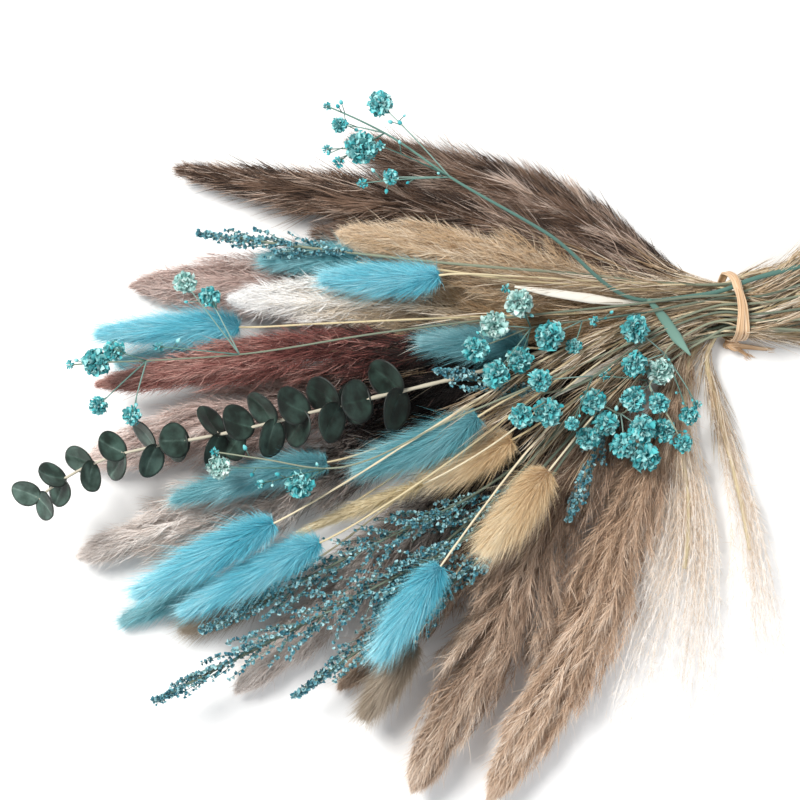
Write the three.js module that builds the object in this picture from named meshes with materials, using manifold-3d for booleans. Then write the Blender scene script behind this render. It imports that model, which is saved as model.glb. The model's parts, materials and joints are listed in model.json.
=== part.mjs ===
// A hand-tied bunch of dried pampas grass, reeds and dyed flowers, lying on a table.
// Millimetres, +Z up. The cut stems point to +X and the heads fan out towards -X and -Y.
// Every cut stem with the head it carries is one solid. A raffia band and its knot hold them.
// The bunch is laid out round its tie, where x = y = 0, and the table is z = 0.
import * as THREE from "three";
import { mergeVertices } from "three/addons/utils/BufferGeometryUtils.js";
import Module from "manifold-3d";

const wasm = await Module();
wasm.setup();

// ---------------------------------------------------------------- driving dimensions
const CLEARANCE = 0.5; // air kept between two neighbouring pieces
const BAND_WIDTH = 5;
const BAND_THICKNESS = 0.9;
const KNOT_RADIUS = 4.2;
const KNOT_TAIL = [21, 15]; // lengths of the two loose raffia ends
const KNOT_TAIL_ANGLE = [-6, -24]; // their bearings, in degrees from +X
const KNOT_TAIL_WIDTH = 3.6;
const KNOT_TAIL_THICKNESS = 0.9;
const BUNCH_RADIUS = 13; // about the radius of all the stems inside the band
const BAND_LIFT = 0.6; // air under the band
const TIE_HEIGHT = BUNCH_RADIUS + CLEARANCE + BAND_THICKNESS + BAND_LIFT; // the band's middle
const TAIL_LENGTH = 82; // from the tie to the cut ends
const LAYER_STEP = 16; // height between layers of heads before they settle
const SPREAD = 170; // from the tie to where the layers lie fully apart

// Colours
const UMBER = "#5b4536";
const TAN = "#b3916f";
const CREAM = "#e9dcc4";
const MAUVE = "#84605a";
const BLUSH = "#c3b0a8";
const PALE = "#d9d0c6";
const WISP = "#e8dccd";
const TURQUOISE = "#6fcbe0";
const TEAL = "#3f95a6";
const BUFF = "#ecd3a2";
const DYED = "#45b5be";
const SEA_BLUE = "#6d9fa1";
const EUCALYPTUS = "#33493f";
const STRAW = "#cdbf98";
const RAFFIA = "#d8b894";

// ---------------------------------------------------------------- kinds of stem
// stem: stem radius. sides: facets round a section. flat: height of the head over its width.
// fan: lowest and highest bearing of the cut ends, in degrees from +X. tail: share of TAIL_LENGTH.
// profile: the head from its neck (0) to its tip (1), as [share of length, share of half-width].
const PLUME_PROFILE = [
  [0, 0.18],
  [0.1, 0.5],
  [0.3, 0.92],
  [0.5, 1],
  [0.72, 0.78],
  [0.9, 0.42],
  [1, 0.1],
];
const LEAF_ROOM = 1.66; // room left round the eucalyptus stem, over a leaf's radius
const KINDS = {
  plume: { stem: 1.8, sides: 8, flat: 0.72, fan: [-9, 12], tail: 1.1, profile: PLUME_PROFILE },
  bunnyTail: {
    stem: 0.8,
    sides: 6,
    flat: 0.9,
    fan: [16, 40],
    tail: 1,
    profile: [
      [0, 0.3],
      [0.12, 0.82],
      [0.4, 1],
      [0.75, 0.76],
      [1, 0.16],
    ],
  },
  seaLavender: {
    stem: 1,
    sides: 6,
    flat: 0.7,
    fan: [4, 26],
    tail: 0.86,
    profile: [
      [0, 0.3],
      [0.2, 0.85],
      [0.5, 1],
      [0.8, 0.55],
      [1, 0.12],
    ],
  },
  foxtail: {
    stem: 0.7,
    sides: 6,
    flat: 0.9,
    fan: [16, 34],
    tail: 0.92,
    profile: [
      [0, 0.3],
      [0.12, 0.8],
      [0.45, 1],
      [0.8, 0.72],
      [1, 0.2],
    ],
  },
  blade: {
    stem: 1.2,
    sides: 6,
    flat: 0.3,
    fan: [10, 36],
    tail: 0.8,
    profile: [
      [0, 0.6],
      [0.3, 1],
      [0.7, 0.8],
      [1, 0.2],
    ],
  },
  eucalyptus: { stem: 1.5, fan: [2, 10], tail: 0.9 },
  gypsophila: { stem: 1.3, fan: [-4, 22], tail: 0.95 },
};

// ---------------------------------------------------------------- the stems
// Layer 0 lies lowest. neck and tip are the two ends of the head in plan; the last
// numbers are the head's half-width and its colour.
const PLUMES = [
  ["pampas_plume_1", 1, [-76, -84], [-158, -240], 22, TAN],
  ["pampas_plume_2", 0, [-38, -58], [-134, -236], 21, TAN],
  ["pampas_plume_3", 0, [-118, -112], [-192, -190], 15, TAN],
  ["pampas_plume_4", 0, [-30, -70], [-46, -212], 17, WISP],
  ["pampas_plume_5", 0, [-4, -64], [18, -196], 15, WISP],
  ["pampas_plume_6", 0, [-128, -84], [-246, -192], 17, PALE],
  ["pampas_plume_7", 0, [-176, -62], [-328, -120], 21, PALE],
  ["pampas_plume_8", 1, [-166, -38], [-322, -80], 20, BLUSH],
  ["pampas_plume_9", 2, [-150, -20], [-313, -44], 13, MAUVE],
  ["pampas_plume_10", 0, [-160, 14], [-300, 12], 16, BLUSH],
  ["pampas_plume_11", 3, [-104, -2], [-248, -1], 16, CREAM],
  ["pampas_plume_12", 3, [-36, 4], [-192, 30], 17, CREAM],
  ["reed_plume_1", 2, [-108, 34], [-274, 68], 11, UMBER],
  ["reed_plume_2", 2, [-44, 18], [-188, 72], 14, UMBER],
  ["reed_plume_3", 1, [-60, 12], [-200, 36], 13, UMBER],
];
const BUNNY_TAILS = [
  ["bunny_tail_1", 4, [-150, 14], [-208, 15], 8.5, TURQUOISE],
  ["bunny_tail_2", 3, [-192, 20], [-240, 20], 7.5, TEAL],
  ["bunny_tail_3", 3, [-249, -7], [-322, -12], 8.5, TURQUOISE],
  ["bunny_tail_4", 2, [-240, -22], [-314, -27], 7.5, TEAL],
  ["bunny_tail_5", 4, [-132, -50], [-194, -74], 9.5, TEAL],
  ["bunny_tail_6", 3, [-106, -21], [-160, -20], 8.5, TEAL],
  ["bunny_tail_7", 3, [-206, -75], [-282, -97], 8, TEAL],
  ["bunny_tail_8", 4, [-230, -107], [-301, -144], 10, TURQUOISE],
  ["bunny_tail_9", 4, [-208, -117], [-278, -153], 9.5, TURQUOISE],
  ["bunny_tail_10", 2, [-262, -138], [-312, -160], 7, TEAL],
  ["bunny_tail_11", 4, [-147, -128], [-180, -174], 9.5, TURQUOISE],
  ["bunny_tail_12", 4, [-113, -66], [-158, -86], 10, BUFF],
  ["bunny_tail_13", 4, [-97, -79], [-130, -120], 10.5, BUFF],
  ["bunny_tail_14", 2, [-234, -144], [-280, -164], 9, BUFF],
  ["bunny_tail_15", 2, [-166, -164], [-190, -204], 9, BUFF],
];
const SEA_LAVENDER = [
  ["sea_lavender_1", 3, [-140, -118], [-288, -195], 10, SEA_BLUE],
  ["sea_lavender_2", 3, [-136, -98], [-264, -160], 10, SEA_BLUE],
  ["sea_lavender_3", 3, [-128, -112], [-226, -184], 10, SEA_BLUE],
  ["sea_lavender_4", 3, [-118, -96], [-176, -156], 10, SEA_BLUE],
  ["sea_lavender_5", 3, [-200, 26], [-266, 36], 5.5, SEA_BLUE],
  ["sea_lavender_6", 4, [-104, -44], [-156, -36], 6, SEA_BLUE],
  ["sea_lavender_7", 3, [-66, -62], [-84, -104], 7, SEA_BLUE],
];
const FOXTAILS = [["foxtail_1", 4, [-158, -87], [-220, -112], 5.5, STRAW]];
const BLADES = [
  ["straw_blade_1", 3, [-58, 4], [-114, 12], 2.6, STRAW],
  ["straw_blade_2", 4, [-30, -14], [-90, -46], 2.8, STRAW],
];

// The eucalyptus: the line of its stem past the neck, whose tip lifts by the third number,
// then its leaves in opposite pairs.
const SPRIG = {
  name: "eucalyptus_sprig",
  layer: 3,
  neck: [-150, -33],
  line: [
    [-198, -43, 0],
    [-246, -54, 0],
    [-288, -62, 2],
    [-314, -69, 6],
    [-334, -81, 14],
    [-348, -93, 28],
  ],
  pairs: 13,
  leafRadius: [11.2, 7.2], // the leaves nearest the neck, and those at the tip
  leafThickness: 1.2,
  leafLean: 62, // degrees between a leaf and the stem
  leafFacets: 8,
};

// The sprays: the line of the main stem, its radius, then the flowers as [x, y, radius].
const SPRAYS = [
  {
    name: "gypsophila_spray_1",
    stem: 2.1,
    leaf: [
      [-36, -6, 2.6],
      [-29, -16, 3],
      [-22, -25, 0.7],
    ],
    line: [
      [-48, 5],
      [-98, 36],
      [-144, 62],
      [-176, 84],
    ],
    flowers: [
      [-178, 97, 5.5],
      [-191, 75, 6],
      [-198, 88, 3.4],
      [-204, 97, 2],
      [-198, 70, 2.6],
      [-174, 62, 3.2],
      [-187, 59, 2.4],
      [-178, 77, 2.4],
      [-204, 76, 2.4],
    ],
  },
  {
    name: "gypsophila_spray_2",
    stem: 1.2,
    line: [
      [-46, -2],
      [-78, -6],
      [-104, -10],
    ],
    flowers: [
      [-110, 1, 6],
      [-123, -9, 6],
      [-95, -14, 6.4],
      [-83, -19, 3.6],
      [-110, -26, 5.8],
      [-122, -33, 6],
      [-132, -21, 5.6],
      [-74, -8, 2.4],
      [-117, 9, 2.2],
    ],
  },
  {
    name: "gypsophila_spray_3",
    stem: 1.2,
    line: [
      [-20, -10],
      [-36, -22],
      [-44, -38],
    ],
    flowers: [
      [-52, -11, 6.4],
      [-52, -27, 5.6],
      [-39, -32, 5.8],
      [-52, -45, 5.6],
      [-40, -47, 4.6],
      [-25, -53, 4.2],
      [-28, -67, 4],
      [-20, -48, 2.2],
    ],
  },
  {
    name: "gypsophila_spray_4",
    stem: 1.2,
    line: [
      [-26, -18],
      [-44, -34],
      [-58, -52],
    ],
    flowers: [
      [-74, -46, 5.6],
      [-66, -57, 5.6],
      [-48, -59, 6],
      [-36, -60, 5.2],
      [-57, -68, 5.6],
      [-46, -74, 6.4],
      [-76, -64, 5.2],
      [-67, -33, 2.4],
    ],
  },
  {
    name: "gypsophila_spray_5",
    stem: 1,
    line: [
      [-44, -16],
      [-72, -34],
      [-92, -44],
    ],
    flowers: [
      [-96, -52, 6],
      [-109, -54, 5.2],
      [-100, -37, 5],
      [-84, -58, 3],
    ],
  },
  {
    name: "gypsophila_spray_6",
    stem: 1,
    line: [
      [-90, -2],
      [-180, -14],
      [-246, -24],
      [-292, -27],
    ],
    flowers: [
      [-320, -28, 5],
      [-308, -22, 4.6],
      [-330, -29, 2.2],
      [-316, -49, 4],
      [-299, -55, 4],
      [-273, 11, 4.8],
      [-261, 4, 4.6],
      [-286, -20, 2.6],
    ],
  },
  {
    name: "gypsophila_spray_7",
    stem: 1,
    line: [
      [-70, -22],
      [-140, -52],
      [-204, -78],
    ],
    flowers: [
      [-217, -86, 6],
      [-256, -78, 5.2],
      [-258, -70, 2.2],
      [-236, -86, 2.4],
    ],
  },
];
const SPRAY_LAYER = 6;
const TWIG_RADIUS = 0.55; // thin branches that carry single flowers
const FORK_LEAD = 16; // a twig leaves the main stem at least this far before its flower
const LEAF_THICKNESS = 1;
const LEAST_EDGE = 0.05; // shorter edges left by a join are closed up

// ---------------------------------------------------------------- small helpers
const lerp = (a, b, t) => a + (b - a) * t;
const radians = THREE.MathUtils.degToRad;

// A steady number from 0 to 1 for a name, so that like stems differ a little.
function variety(name, salt = 0) {
  let h = 2166136261 + salt;
  for (const c of name) h = Math.imul(h ^ c.charCodeAt(0), 16777619) >>> 0;
  return ((h ^ (h >>> 13)) % 1000) / 1000;
}

const material = (colour) =>
  new THREE.MeshStandardMaterial({ color: colour, roughness: 0.9, metalness: 0 });

// ---------------------------------------------------------------- laying out the stems
// A point of a stem: its wanted place, its place, its half-width and half-height.
function point(place, width, height = width, atTie = false) {
  return { want: place.clone(), at: place.clone(), width, height, atTie };
}

// Where each stem passes through the tie. The stems fill the round band in level rows,
// lowest layer first, and in every row they keep the order of their heads.
function giveSlots(stems) {
  const waiting = [...stems].sort((a, b) => a.layer - b.layer || b.radius - a.radius);
  let z = -BUNCH_RADIUS;
  while (waiting.length > 0) {
    const height = 2 * waiting[0].radius + CLEARANCE;
    z += height / 2;
    const chord = 2 * Math.sqrt(Math.max(BUNCH_RADIUS ** 2 - z * z, height * height));
    const row = [];
    for (let used = 0; waiting.length > 0; ) {
      used += 2 * waiting[0].radius + CLEARANCE;
      if (row.length > 0 && used > chord) break;
      row.push(waiting.shift());
    }
    row.sort((a, b) => bearing(a) - bearing(b));
    row.forEach((stem, i) => {
      stem.slot = row.length > 1 ? lerp(-1, 1, i / (row.length - 1)) : 0;
      stem.tieY = (stem.slot * (chord - height)) / 2;
      stem.tieZ = TIE_HEIGHT + z;
    });
    z += height / 2;
  }
}
const bearing = (stem) => Math.atan2(stem.neck[1], -stem.neck[0]);
const headZ = (stem) => 8 + stem.layer * LAYER_STEP;

// A place in plan raised to its stem's height there: stems rise from the tie as they spread.
function raised(stem, [x, y]) {
  const spread = THREE.MathUtils.smoothstep(Math.hypot(x, y), 0, SPREAD);
  return new THREE.Vector3(x, y, lerp(stem.tieZ, headZ(stem), spread));
}

// The points from the cut end to the tie.
function cutEnd(stem) {
  const { fan, tail } = KINDS[stem.kind];
  const angle = radians(lerp(...fan, (stem.slot + 1) / 2));
  const length = TAIL_LENGTH * tail * lerp(0.9, 1.06, variety(stem.name));
  const start = new THREE.Vector3(BAND_WIDTH / 2, stem.tieY, stem.tieZ);
  const way = new THREE.Vector3(Math.cos(angle), Math.sin(angle), 0);
  return [1, 0.5].map((share) => {
    const bend = new THREE.Vector3(0, -0.5 * length * Math.sin(angle) * share * (1 - share), 0);
    return point(start.clone().addScaledVector(way, length * share).add(bend), stem.radius);
  });
}

// The points inside the band and from there to the neck, on one smooth curve.
function fromTieTo(stem, neck, towards, steps) {
  const tie = [BAND_WIDTH / 2, -BAND_WIDTH / 2].map((x) =>
    point(new THREE.Vector3(x, stem.tieY, stem.tieZ), stem.radius, stem.radius, true),
  );
  const start = tie[1].want;
  const reach = start.distanceTo(neck);
  const curve = new THREE.CubicBezierCurve3(
    start,
    start.clone().add(new THREE.Vector3(-0.3 * reach, 0, 0)),
    neck.clone().addScaledVector(towards, -0.3 * reach),
    neck,
  );
  const way = [];
  for (let i = 1; i < steps; i++) {
    const { x, y } = curve.getPoint(i / steps);
    way.push(point(raised(stem, [x, y]), stem.radius));
  }
  return [...tie, ...way];
}

// A stem with a plain head: pampas, reed, bunny tail, sea lavender, foxtail or blade.
function headed(kind, [name, layer, neck, tip, halfWidth, colour]) {
  const { stem: radius, sides, flat, profile } = KINDS[kind];
  const stem = { name, kind, layer, neck, radius, sides, colour };
  stem.lay = () => {
    const from = raised(stem, neck);
    const to = raised(stem, tip);
    const towards = to.clone().sub(from).setZ(0).normalize();
    const steps = Math.max(3, Math.round(from.length() / 50) + 1);
    const head = profile.map(([along, wide]) =>
      point(
        from.clone().lerp(to, along),
        Math.max(halfWidth * wide, radius * (1 - 0.6 * along)),
        Math.max(halfWidth * flat * wide, radius * (1 - 0.6 * along)),
      ),
    );
    const points = [...cutEnd(stem), ...fromTieTo(stem, from, towards, steps), ...head];
    stem.chains = [points];
    stem.points = points;
    stem.links = chainLinks(0, points.length);
    stem.balls = [];
  };
  return stem;
}

function chainLinks(first, count) {
  return Array.from({ length: count - 1 }, (_, i) => [first + i, first + i + 1]);
}

// The eucalyptus is laid out as a stem inside the room that its leaves take.
function eucalyptus(spec) {
  const stem = { ...spec, kind: "eucalyptus", radius: KINDS.eucalyptus.stem, colour: EUCALYPTUS };
  stem.lay = () => {
    const neck = raised(stem, spec.neck);
    const line = spec.line.map(([x, y, lift]) => raised(stem, [x, y]).setZ(headZ(stem) + lift));
    const towards = line[0].clone().sub(neck).setZ(0).normalize();
    const leafy = [neck, ...line].map((p, i) => {
      const room = LEAF_ROOM * lerp(...spec.leafRadius, i / line.length);
      return point(p, room, room);
    });
    const points = [...cutEnd(stem), ...fromTieTo(stem, neck, towards, 4), ...leafy];
    stem.chains = [points];
    stem.points = points;
    stem.links = chainLinks(0, points.length);
    stem.balls = [];
  };
  return stem;
}

// A spray is a tree: the main stem, and a twig from it to each flower.
function spray(spec) {
  const stem = { ...spec, kind: "gypsophila", layer: SPRAY_LAYER, radius: spec.stem };
  stem.neck = spec.line[0];
  stem.colour = DYED;
  stem.lay = () => {
    const line = spec.line.map((p) => raised(stem, p));
    const towards = line[1].clone().sub(line[0]).setZ(0).normalize();
    const steps = Math.max(2, Math.round(line[0].length() / 30));
    const main = [...cutEnd(stem), ...fromTieTo(stem, line[0], towards, steps)];
    const taper = (i) => lerp(1, 0.5, i / (line.length - 1)) * stem.radius;
    line.forEach((p, i) => main.push(point(p, taper(i))));
    stem.points = [...main];
    stem.links = chainLinks(0, main.length);
    stem.chains = [main];
    stem.balls = spec.flowers.map(([x, y, radius]) => {
      const flower = point(raised(stem, [x, y]), radius);
      const fork = forkFor(main, flower);
      const knee = point(main[fork].want.clone().lerp(flower.want, 0.55), TWIG_RADIUS);
      knee.want.z += 3;
      knee.at.copy(knee.want);
      const n = stem.points.push(knee, flower) - 1;
      const twigEnd = point(flower.want, TWIG_RADIUS);
      twigEnd.at = flower.at; // the twig ends in the flower wherever that settles
      stem.links.push([fork, n - 1], [n - 1, n, TWIG_RADIUS]);
      stem.chains.push([main[fork], knee, twigEnd]);
      return n;
    });
    if (spec.leaf) addLeaf(stem, main.indexOf(main.find((p) => p.want.x < spec.leaf[0][0])));
  };
  return stem;
}

// A long leaf that leaves the main stem at one of its points.
function addLeaf(stem, joint) {
  const blade = stem.leaf.map(([x, y, width]) => {
    return point(raised(stem, [x, y]), width, LEAF_THICKNESS / 2);
  });
  const first = stem.points.push(...blade) - blade.length;
  stem.links.push([joint, first], ...chainLinks(first, blade.length));
  stem.chains.push([point(stem.points[joint].at, TWIG_RADIUS), ...blade]);
  stem.chains.at(-1)[0].at = stem.points[joint].at;
}

// The point of the main stem that a flower's twig leaves: the nearest that still leads it.
function forkFor(main, flower) {
  let best = 0;
  let least = Infinity;
  main.forEach((p, i) => {
    const gap = p.want.distanceTo(flower.want);
    const leads = i > 3 && (i === 4 || p.want.length() < flower.want.length() - FORK_LEAD / 2);
    if (leads && gap > FORK_LEAD / 2 && gap < least) [best, least] = [i, gap];
  });
  return best;
}

// ---------------------------------------------------------------- settling
// The stems are drawn into the band, pulled down by their weight, and pushed apart
// wherever they would touch, until the bunch lies as a real one does.
const PASSES = 460;
const QUIET = 180; // the last passes only push apart
const WEIGHT = 0.22; // mm that a free point sinks in a pass
const HOLD = 0.05; // how firmly a point keeps its place in plan
const GRIP = 0.3; // how firmly the band holds a stem in its place
const SMOOTH = 0.35; // how stiff a stem is
const REACH = 5; // neighbours within this gap are watched

function settle(stems) {
  const segments = stems.flatMap((stem) => segmentsOf(stem));
  let pairs = [];
  for (let pass = 0; pass < PASSES; pass++) {
    const quiet = pass >= PASSES - QUIET;
    if (pass % 8 === 0) pairs = closePairs(segments);
    if (!quiet) for (const stem of stems) drift(stem);
    for (const stem of stems) stiffen(stem, quiet ? 0.1 * SMOOTH : SMOOTH);
    for (const [a, b] of pairs) pushApart(a, b);
    for (const stem of stems) for (const p of stem.points) keepOnTable(p);
  }
}

function segmentsOf(stem) {
  const made = stem.links.map(([i, j, thin]) => {
    const [a, b] = [stem.points[i], stem.points[j]];
    const bSize = { bWidth: thin ?? b.width, bHeight: thin ?? b.height };
    return { stem, a, b, aWidth: a.width, aHeight: a.height, ...bSize };
  });
  for (const i of stem.balls) {
    const p = stem.points[i];
    const size = { aWidth: p.width, bWidth: p.width, aHeight: p.height, bHeight: p.height };
    made.push({ stem, a: p, b: p, ball: true, ...size });
  }
  return made;
}

function closePairs(segments) {
  const boxes = segments.map(({ a, b, aWidth, bWidth }) => ({
    middle: a.at.clone().add(b.at).multiplyScalar(0.5),
    size: a.at.distanceTo(b.at) / 2 + Math.max(aWidth, bWidth) + REACH,
  }));
  const pairs = [];
  for (let i = 0; i < segments.length; i++)
    for (let j = i + 1; j < segments.length; j++) {
      const [a, b] = [segments[i], segments[j]];
      if (a.stem === b.stem && !(a.ball && b.ball)) continue;
      const far = boxes[i].size + boxes[j].size;
      if (boxes[i].middle.distanceToSquared(boxes[j].middle) < far * far) pairs.push([a, b]);
    }
  return pairs;
}

// Weight, the wish to stay where the stem was put, and the pull of the band.
function drift(stem) {
  for (const p of stem.points) {
    if (p.atTie) {
      p.at.lerp(p.want, GRIP);
      continue;
    }
    p.at.x += (p.want.x - p.at.x) * HOLD;
    p.at.y += (p.want.y - p.at.y) * HOLD;
    p.at.z -= WEIGHT;
  }
}

// Evens out how far neighbouring points have moved, so that a stem bends gently.
function stiffen(stem, share) {
  const moved = stem.points.map((p) => p.at.clone().sub(p.want));
  const sum = moved.map(() => new THREE.Vector3());
  const count = moved.map(() => 0);
  for (const [i, j] of stem.links) {
    sum[i].add(moved[j]);
    sum[j].add(moved[i]);
    count[i]++;
    count[j]++;
  }
  stem.points.forEach((p, i) => {
    if (!p.atTie) p.at.addScaledVector(sum[i].divideScalar(count[i]).sub(moved[i]), share);
  });
}

const half = (width, height, way) =>
  Math.sqrt(width * width * (way.x * way.x + way.y * way.y) + height * height * way.z * way.z);

const ab = new THREE.Vector3();
const cd = new THREE.Vector3();
const ca = new THREE.Vector3();
const way = new THREE.Vector3();

function pushApart(one, two) {
  const [s, t] = nearest(one, two);
  way.copy(two.a.at).addScaledVector(cd, t).sub(one.a.at).addScaledVector(ab, -s);
  let gap = way.length();
  if (gap < 1e-6) way.set(0, 0, 1);
  else way.divideScalar(gap);
  const order = Math.sign(two.stem.layer - one.stem.layer);
  if (order !== 0 && Math.abs(way.z) > 0.5 && Math.sign(way.z) !== order) {
    way.negate();
    gap = -gap;
  }
  const first = half(lerp(one.aWidth, one.bWidth, s), lerp(one.aHeight, one.bHeight, s), way);
  const second = half(lerp(two.aWidth, two.bWidth, t), lerp(two.aHeight, two.bHeight, t), way);
  const short = first + second + CLEARANCE - gap;
  if (short <= 0) return;
  const step = Math.min(short, 3) / 2;
  shove(one, s, -step);
  shove(two, t, step);
}

function shove({ a, b, ball }, s, step) {
  if (ball) {
    a.at.addScaledVector(way, step);
    return;
  }
  const share = step / ((1 - s) * (1 - s) + s * s);
  for (const [p, part] of [
    [a, 1 - s],
    [b, s],
  ]) {
    const x = p.at.x;
    p.at.addScaledVector(way, share * part);
    if (p.atTie) p.at.x = x;
  }
}

// Shares along two segments at which they are nearest. Leaves their directions in ab and cd.
function nearest(one, two) {
  ab.subVectors(one.b.at, one.a.at);
  cd.subVectors(two.b.at, two.a.at);
  ca.subVectors(one.a.at, two.a.at);
  const [aa, cc, f] = [ab.lengthSq(), cd.lengthSq(), cd.dot(ca)];
  const clamp = (x) => Math.min(1, Math.max(0, x));
  if (aa < 1e-9 && cc < 1e-9) return [0, 0];
  if (aa < 1e-9) return [0, clamp(f / cc)];
  const c = ab.dot(ca);
  if (cc < 1e-9) return [clamp(-c / aa), 0];
  const b = ab.dot(cd);
  const wide = aa * cc - b * b;
  let s = wide > 1e-9 ? clamp((b * f - c * cc) / wide) : 0.5;
  let t = (b * s + f) / cc;
  if (t < 0 || t > 1) {
    t = clamp(t);
    s = clamp((b * t - c) / aa);
  }
  return [s, t];
}

function keepOnTable(p) {
  const lowest = p.height + (p.atTie ? BAND_THICKNESS + 2 * CLEARANCE : CLEARANCE);
  if (p.at.z < lowest) p.at.z = lowest;
}

// ---------------------------------------------------------------- solids
// A closed tube through the chain's points, each ring an ellipse that lies level.
function tube(chain, sides) {
  const last = chain.length - 1;
  const vertices = [];
  const faces = [];
  chain.forEach((p, k) => {
    const ahead = chain[Math.min(k + 1, last)].at.clone();
    const along = ahead.sub(chain[Math.max(k - 1, 0)].at).normalize();
    const across = new THREE.Vector3(-along.y, along.x, 0).normalize();
    const upward = new THREE.Vector3().crossVectors(along, across);
    for (let s = 0; s < sides; s++) {
      const turn = (2 * Math.PI * (s + 0.5)) / sides;
      const v = p.at.clone().addScaledVector(across, p.width * Math.cos(turn));
      vertices.push(...v.addScaledVector(upward, p.height * Math.sin(turn)));
    }
  });
  for (let k = 0; k < last; k++)
    for (let s = 0; s < sides; s++) {
      const [a, b] = [k * sides + s, k * sides + ((s + 1) % sides)];
      faces.push(a, b, b + sides, a, b + sides, a + sides);
    }
  for (let s = 1; s < sides - 1; s++) {
    faces.push(0, s + 1, s);
    faces.push(last * sides, last * sides + s, last * sides + s + 1);
  }
  const geometry = new THREE.BufferGeometry();
  geometry.setAttribute("position", new THREE.Float32BufferAttribute(vertices, 3));
  geometry.setIndex(faces);
  return geometry;
}

function solid(geometry) {
  const bare = geometry.clone();
  bare.deleteAttribute("normal");
  bare.deleteAttribute("uv");
  const merged = mergeVertices(bare, 1e-4);
  return new wasm.Manifold(
    new wasm.Mesh({
      numProp: 3,
      vertProperties: new Float32Array(merged.attributes.position.array),
      triVerts: new Uint32Array(merged.index.array),
    }),
  );
}

function joined(parts) {
  const { vertProperties, triVerts } = wasm.Manifold.union(parts).simplify(LEAST_EDGE).getMesh();
  const geometry = new THREE.BufferGeometry();
  geometry.setAttribute("position", new THREE.BufferAttribute(vertProperties, 3));
  geometry.setIndex(new THREE.BufferAttribute(triVerts, 1));
  return geometry;
}

// A spray's main stem, twigs and flowers, joined into one.
function spraySolid(stem) {
  const [main, ...twigs] = stem.chains;
  const parts = [solid(tube(main, 5)), ...twigs.map((twig) => solid(tube(twig, 3)))];
  for (const i of stem.balls) {
    const { at, width } = stem.points[i];
    const ball = new THREE.DodecahedronGeometry(width);
    parts.push(solid(ball.translate(at.x, at.y, at.z)));
  }
  return joined(parts);
}

// A leaf as a thin lens whose base lies on the stem, pointing along `out` and facing `face`.
function leaf(base, out, face, radius, { leafThickness, leafFacets }) {
  const side = new THREE.Vector3().crossVectors(face, out);
  const middle = base.clone().addScaledVector(out, radius * 0.9);
  const vertices = [
    ...middle.clone().addScaledVector(face, leafThickness / 2),
    ...middle.clone().addScaledVector(face, -leafThickness / 2),
  ];
  const faces = [];
  for (let i = 0; i < leafFacets; i++) {
    const turn = (2 * Math.PI * i) / leafFacets;
    const rim = middle.clone().addScaledVector(out, radius * Math.cos(turn));
    vertices.push(...rim.addScaledVector(side, radius * Math.sin(turn)));
    const [a, b] = [2 + i, 2 + ((i + 1) % leafFacets)];
    faces.push(0, a, b, 1, b, a);
  }
  const geometry = new THREE.BufferGeometry();
  geometry.setAttribute("position", new THREE.Float32BufferAttribute(vertices, 3));
  geometry.setIndex(faces);
  return geometry;
}

function sprigSolid(stem) {
  const [points] = stem.chains;
  const bare = points.map((p, i) => {
    const thin = lerp(stem.radius, stem.radius * 0.4, i / (points.length - 1));
    return { at: p.at, width: thin, height: thin };
  });
  const leafy = bare.slice(-stem.line.length - 1).map((p) => p.at);
  const line = new THREE.CurvePath();
  for (let i = 1; i < leafy.length; i++) line.add(new THREE.LineCurve3(leafy[i - 1], leafy[i]));
  const parts = [solid(tube(bare, 6))];
  const lean = radians(stem.leafLean);
  for (let k = 0; k < stem.pairs; k++) {
    const share = (k + 0.3) / stem.pairs;
    const base = line.getPointAt(share);
    const along = line.getTangentAt(share);
    const level = new THREE.Vector3(-along.y, along.x, 0).normalize();
    const radius = lerp(...stem.leafRadius, share);
    for (const turn of [0, Math.PI]) {
      const roll = turn + (0.5 + (k % 2) + 0.4 * (variety(stem.name, k) - 0.5)) * (Math.PI / 2);
      const outward = level.clone().applyAxisAngle(along, roll);
      const hinge = new THREE.Vector3().crossVectors(along, outward);
      const out = along.clone().applyAxisAngle(hinge, lean);
      const face = new THREE.Vector3().crossVectors(out, hinge);
      parts.push(solid(leaf(base, out, face, radius, stem)));
    }
  }
  return joined(parts);
}

// ---------------------------------------------------------------- the band and its knot
// The corners, as [y, z], of the lengths of stem that lie inside the band.
function stemsInBand(solids) {
  const across = 4 * BUNCH_RADIUS;
  const slab = solid(new THREE.BoxGeometry(BAND_WIDTH, across, across).translate(0, 0, TIE_HEIGHT));
  const { vertProperties: v } = slab.intersect(wasm.Manifold.compose(solids)).getMesh();
  return Array.from({ length: v.length / 3 }, (_, i) => [v[3 * i + 1], v[3 * i + 2]]);
}

// The band is pulled tight round the stems: each side of it lies `room` from the furthest.
function bandOutline(inside, room, sides) {
  const lines = Array.from({ length: sides }, (_, i) => {
    const turn = (2 * Math.PI * i) / sides;
    const [y, z] = [Math.cos(turn), Math.sin(turn)];
    return { y, z, reach: Math.max(...inside.map((p) => p[0] * y + p[1] * z)) + room };
  });
  return lines.map((one, i) => {
    const two = lines[(i + 1) % sides];
    const cross = one.y * two.z - one.z * two.y;
    const y = (one.reach * two.z - two.reach * one.z) / cross;
    const z = (one.y * two.reach - two.y * one.reach) / cross;
    return new THREE.Vector2(y, z);
  });
}

const BAND_SIDES = 28;

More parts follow.
